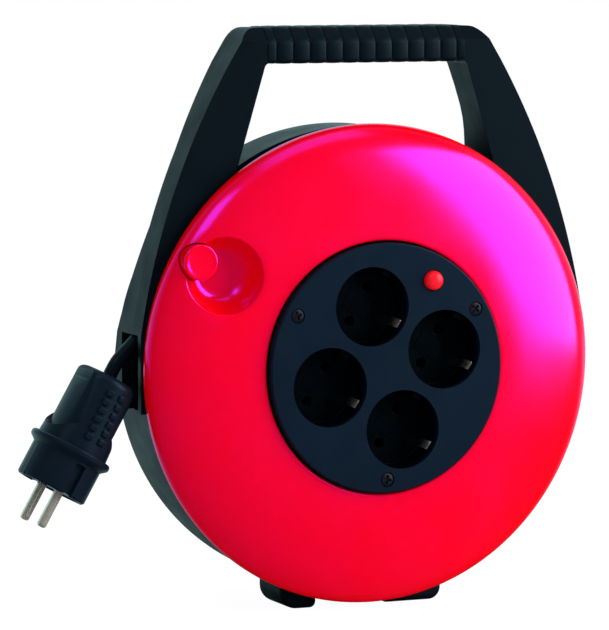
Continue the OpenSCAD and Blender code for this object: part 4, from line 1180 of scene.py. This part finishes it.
def wound_cord():
    """About 10 m of cord in five layers of four turns."""
    rng = random.Random(7)
    line = []
    steps = 40
    for layer in range(5):
        radius = 65.9 + layer * 7.05
        ways = 1 if layer % 2 == 0 else -1
        for i in range(4 * steps):
            turn = i / steps
            across = (turn - 2) * 9.2 * ways
            climb = max(0.0, (turn - 3.85) / 0.15) * 7.1 if layer < 4 else 0.0
            angle = FULL_TURN * turn + 0.4
            wobble = 0.12 * rng.uniform(-1, 1)
            line.append(at(
                (radius + climb) * math.cos(angle), 26.25 + across * 0.82 + wobble,
                (radius + climb) * math.sin(angle),
            ))
    cord = tube("wound_cord", line, CORD_R, 3)
    hold(cord)
    bpy.ops.object.convert(target="MESH")
    return dress(bpy.context.object, cord_rubber, "cord_rubber", "drum", "wound_cable")


wound_cord()


# ---- Light and floor ----

FLOOR_GLOW = 0.97
FLOOR_SHADE = 0.1
FLOOR_BOUNCE = 0.85
FRONT_GLOSS = 0.02
AMBIENT = 0.44
SOFT_WAY = (0.0, -0.99, 0.1)


def cool_glow(tree, path, socket):
    """White, but a little cool in reflections."""
    color = tree.nodes.new("ShaderNodeMix")
    color.data_type = "RGBA"
    color.inputs[6].default_value = (1, 1, 1, 1)
    color.inputs[7].default_value = (0.6, 0.97, 1, 1)
    tree.links.new(path.outputs["Is Glossy Ray"], color.inputs["Factor"])
    tree.links.new(color.outputs[2], socket)


def add_floor():
    bpy.ops.object.select_all(action="DESELECT")
    bpy.ops.mesh.primitive_circle_add(vertices=96, radius=2.5, fill_type="NGON", location=(0, 0, 0))
    floor = bpy.context.object
    floor.name = "floor"
    material = bpy.data.materials.new("floor")
    material.use_nodes = True
    tree = material.node_tree
    surface = tree.nodes["Principled BSDF"]
    surface.inputs["Roughness"].default_value = 0.9
    surface.inputs["Specular IOR Level"].default_value = 0.0
    path = tree.nodes.new("ShaderNodeLightPath")
    seen = path.outputs["Is Camera Ray"]
    # It throws back soft light as white does
    bounce = ramp(tree, path.outputs["Is Diffuse Ray"], 0, 1, 0, FLOOR_BOUNCE)
    base = worked_out(tree, "MULTIPLY_ADD", seen, FLOOR_SHADE, bounce)
    tree.links.new(base, surface.inputs["Base Color"])
    cool_glow(tree, path, surface.inputs["Emission Color"])
    # Reflections see the floor's white behind the reel and not in front of it
    way = tree.nodes.new("ShaderNodeTexCoord").outputs["Object"]
    parts = tree.nodes.new("ShaderNodeSeparateXYZ")
    tree.links.new(way, parts.inputs[0])
    behind = ramp(tree, parts.outputs["Y"], 0, 0.25, 0, 1)
    glow = worked_out(tree, "MULTIPLY", seen, FLOOR_GLOW)
    shown = worked_out(tree, "MULTIPLY_ADD", path.outputs["Is Glossy Ray"], behind, glow)
    tree.links.new(shown, surface.inputs["Emission Strength"])
    floor.data.materials.append(material)


def add_world():
    """White to the camera and behind the reel; dimmer in front of it, as in a studio."""
    world = bpy.data.worlds.new("studio")
    bpy.context.scene.world = world
    world.use_nodes = True
    tree = world.node_tree
    light = tree.nodes["Background"]
    way = tree.nodes.new("ShaderNodeTexCoord").outputs["Generated"]
    parts = tree.nodes.new("ShaderNodeSeparateXYZ")
    tree.links.new(way, parts.inputs[0])
    backward = ramp(tree, parts.outputs["Y"], -0.1, 0.7, FRONT_GLOSS, 1)
    path = tree.nodes.new("ShaderNodeLightPath")
    cool_glow(tree, path, light.inputs["Color"])
    glossy = worked_out(tree, "MULTIPLY", path.outputs["Is Glossy Ray"], backward)
    seen = worked_out(
        tree, "MAXIMUM", path.outputs["Is Camera Ray"], path.outputs["Is Transmission Ray"]
    )
    level = worked_out(tree, "MAXIMUM", seen, glossy)
    # The soft light comes more from the front than from behind
    toward = tree.nodes.new("ShaderNodeVectorMath")
    toward.operation = "DOT_PRODUCT"
    toward.inputs[1].default_value = SOFT_WAY
    tree.links.new(way, toward.inputs[0])
    raised = worked_out(tree, "ADD", toward.outputs["Value"], 1.0)
    soft = worked_out(tree, "MULTIPLY", raised, AMBIENT)
    diffuse = worked_out(tree, "MULTIPLY", path.outputs["Is Diffuse Ray"], soft)
    tree.links.new(worked_out(tree, "MAXIMUM", level, diffuse), light.inputs["Strength"])


def add_lamp(name, azimuth, elevation, distance, size, power):
    """A soft lamp that looks at the reel from an azimuth (0 is the front) and elevation."""
    a, e = math.radians(azimuth), math.radians(elevation)
    target = Vector((0, 0, 0.13))
    way = Vector((math.sin(a) * math.cos(e), -math.cos(a) * math.cos(e), math.sin(e)))
    spot = target + distance * way
    data = bpy.data.lights.new(name, "AREA")
    data.shape = "RECTANGLE"
    data.size, data.size_y = size
    data.energy = power
    lamp = bpy.data.objects.new(name, data)
    bpy.context.scene.collection.objects.link(lamp)
    lamp.location = spot
    lamp.rotation_mode = "QUATERNION"
    lamp.rotation_quaternion = (target - spot).to_track_quat("-Z", "Y")


add_floor()
add_world()
add_lamp("right_lamp", 57, 16, 1.6, (1.35, 1.5), 40)
add_lamp("left_lamp", -50, 45, 1.6, (0.5, 0.5), 3)
add_lamp("top_lamp", 10, 75, 1.7, (1.0, 0.8), 3)
bpy.context.scene.view_settings.view_transform = "Standard"
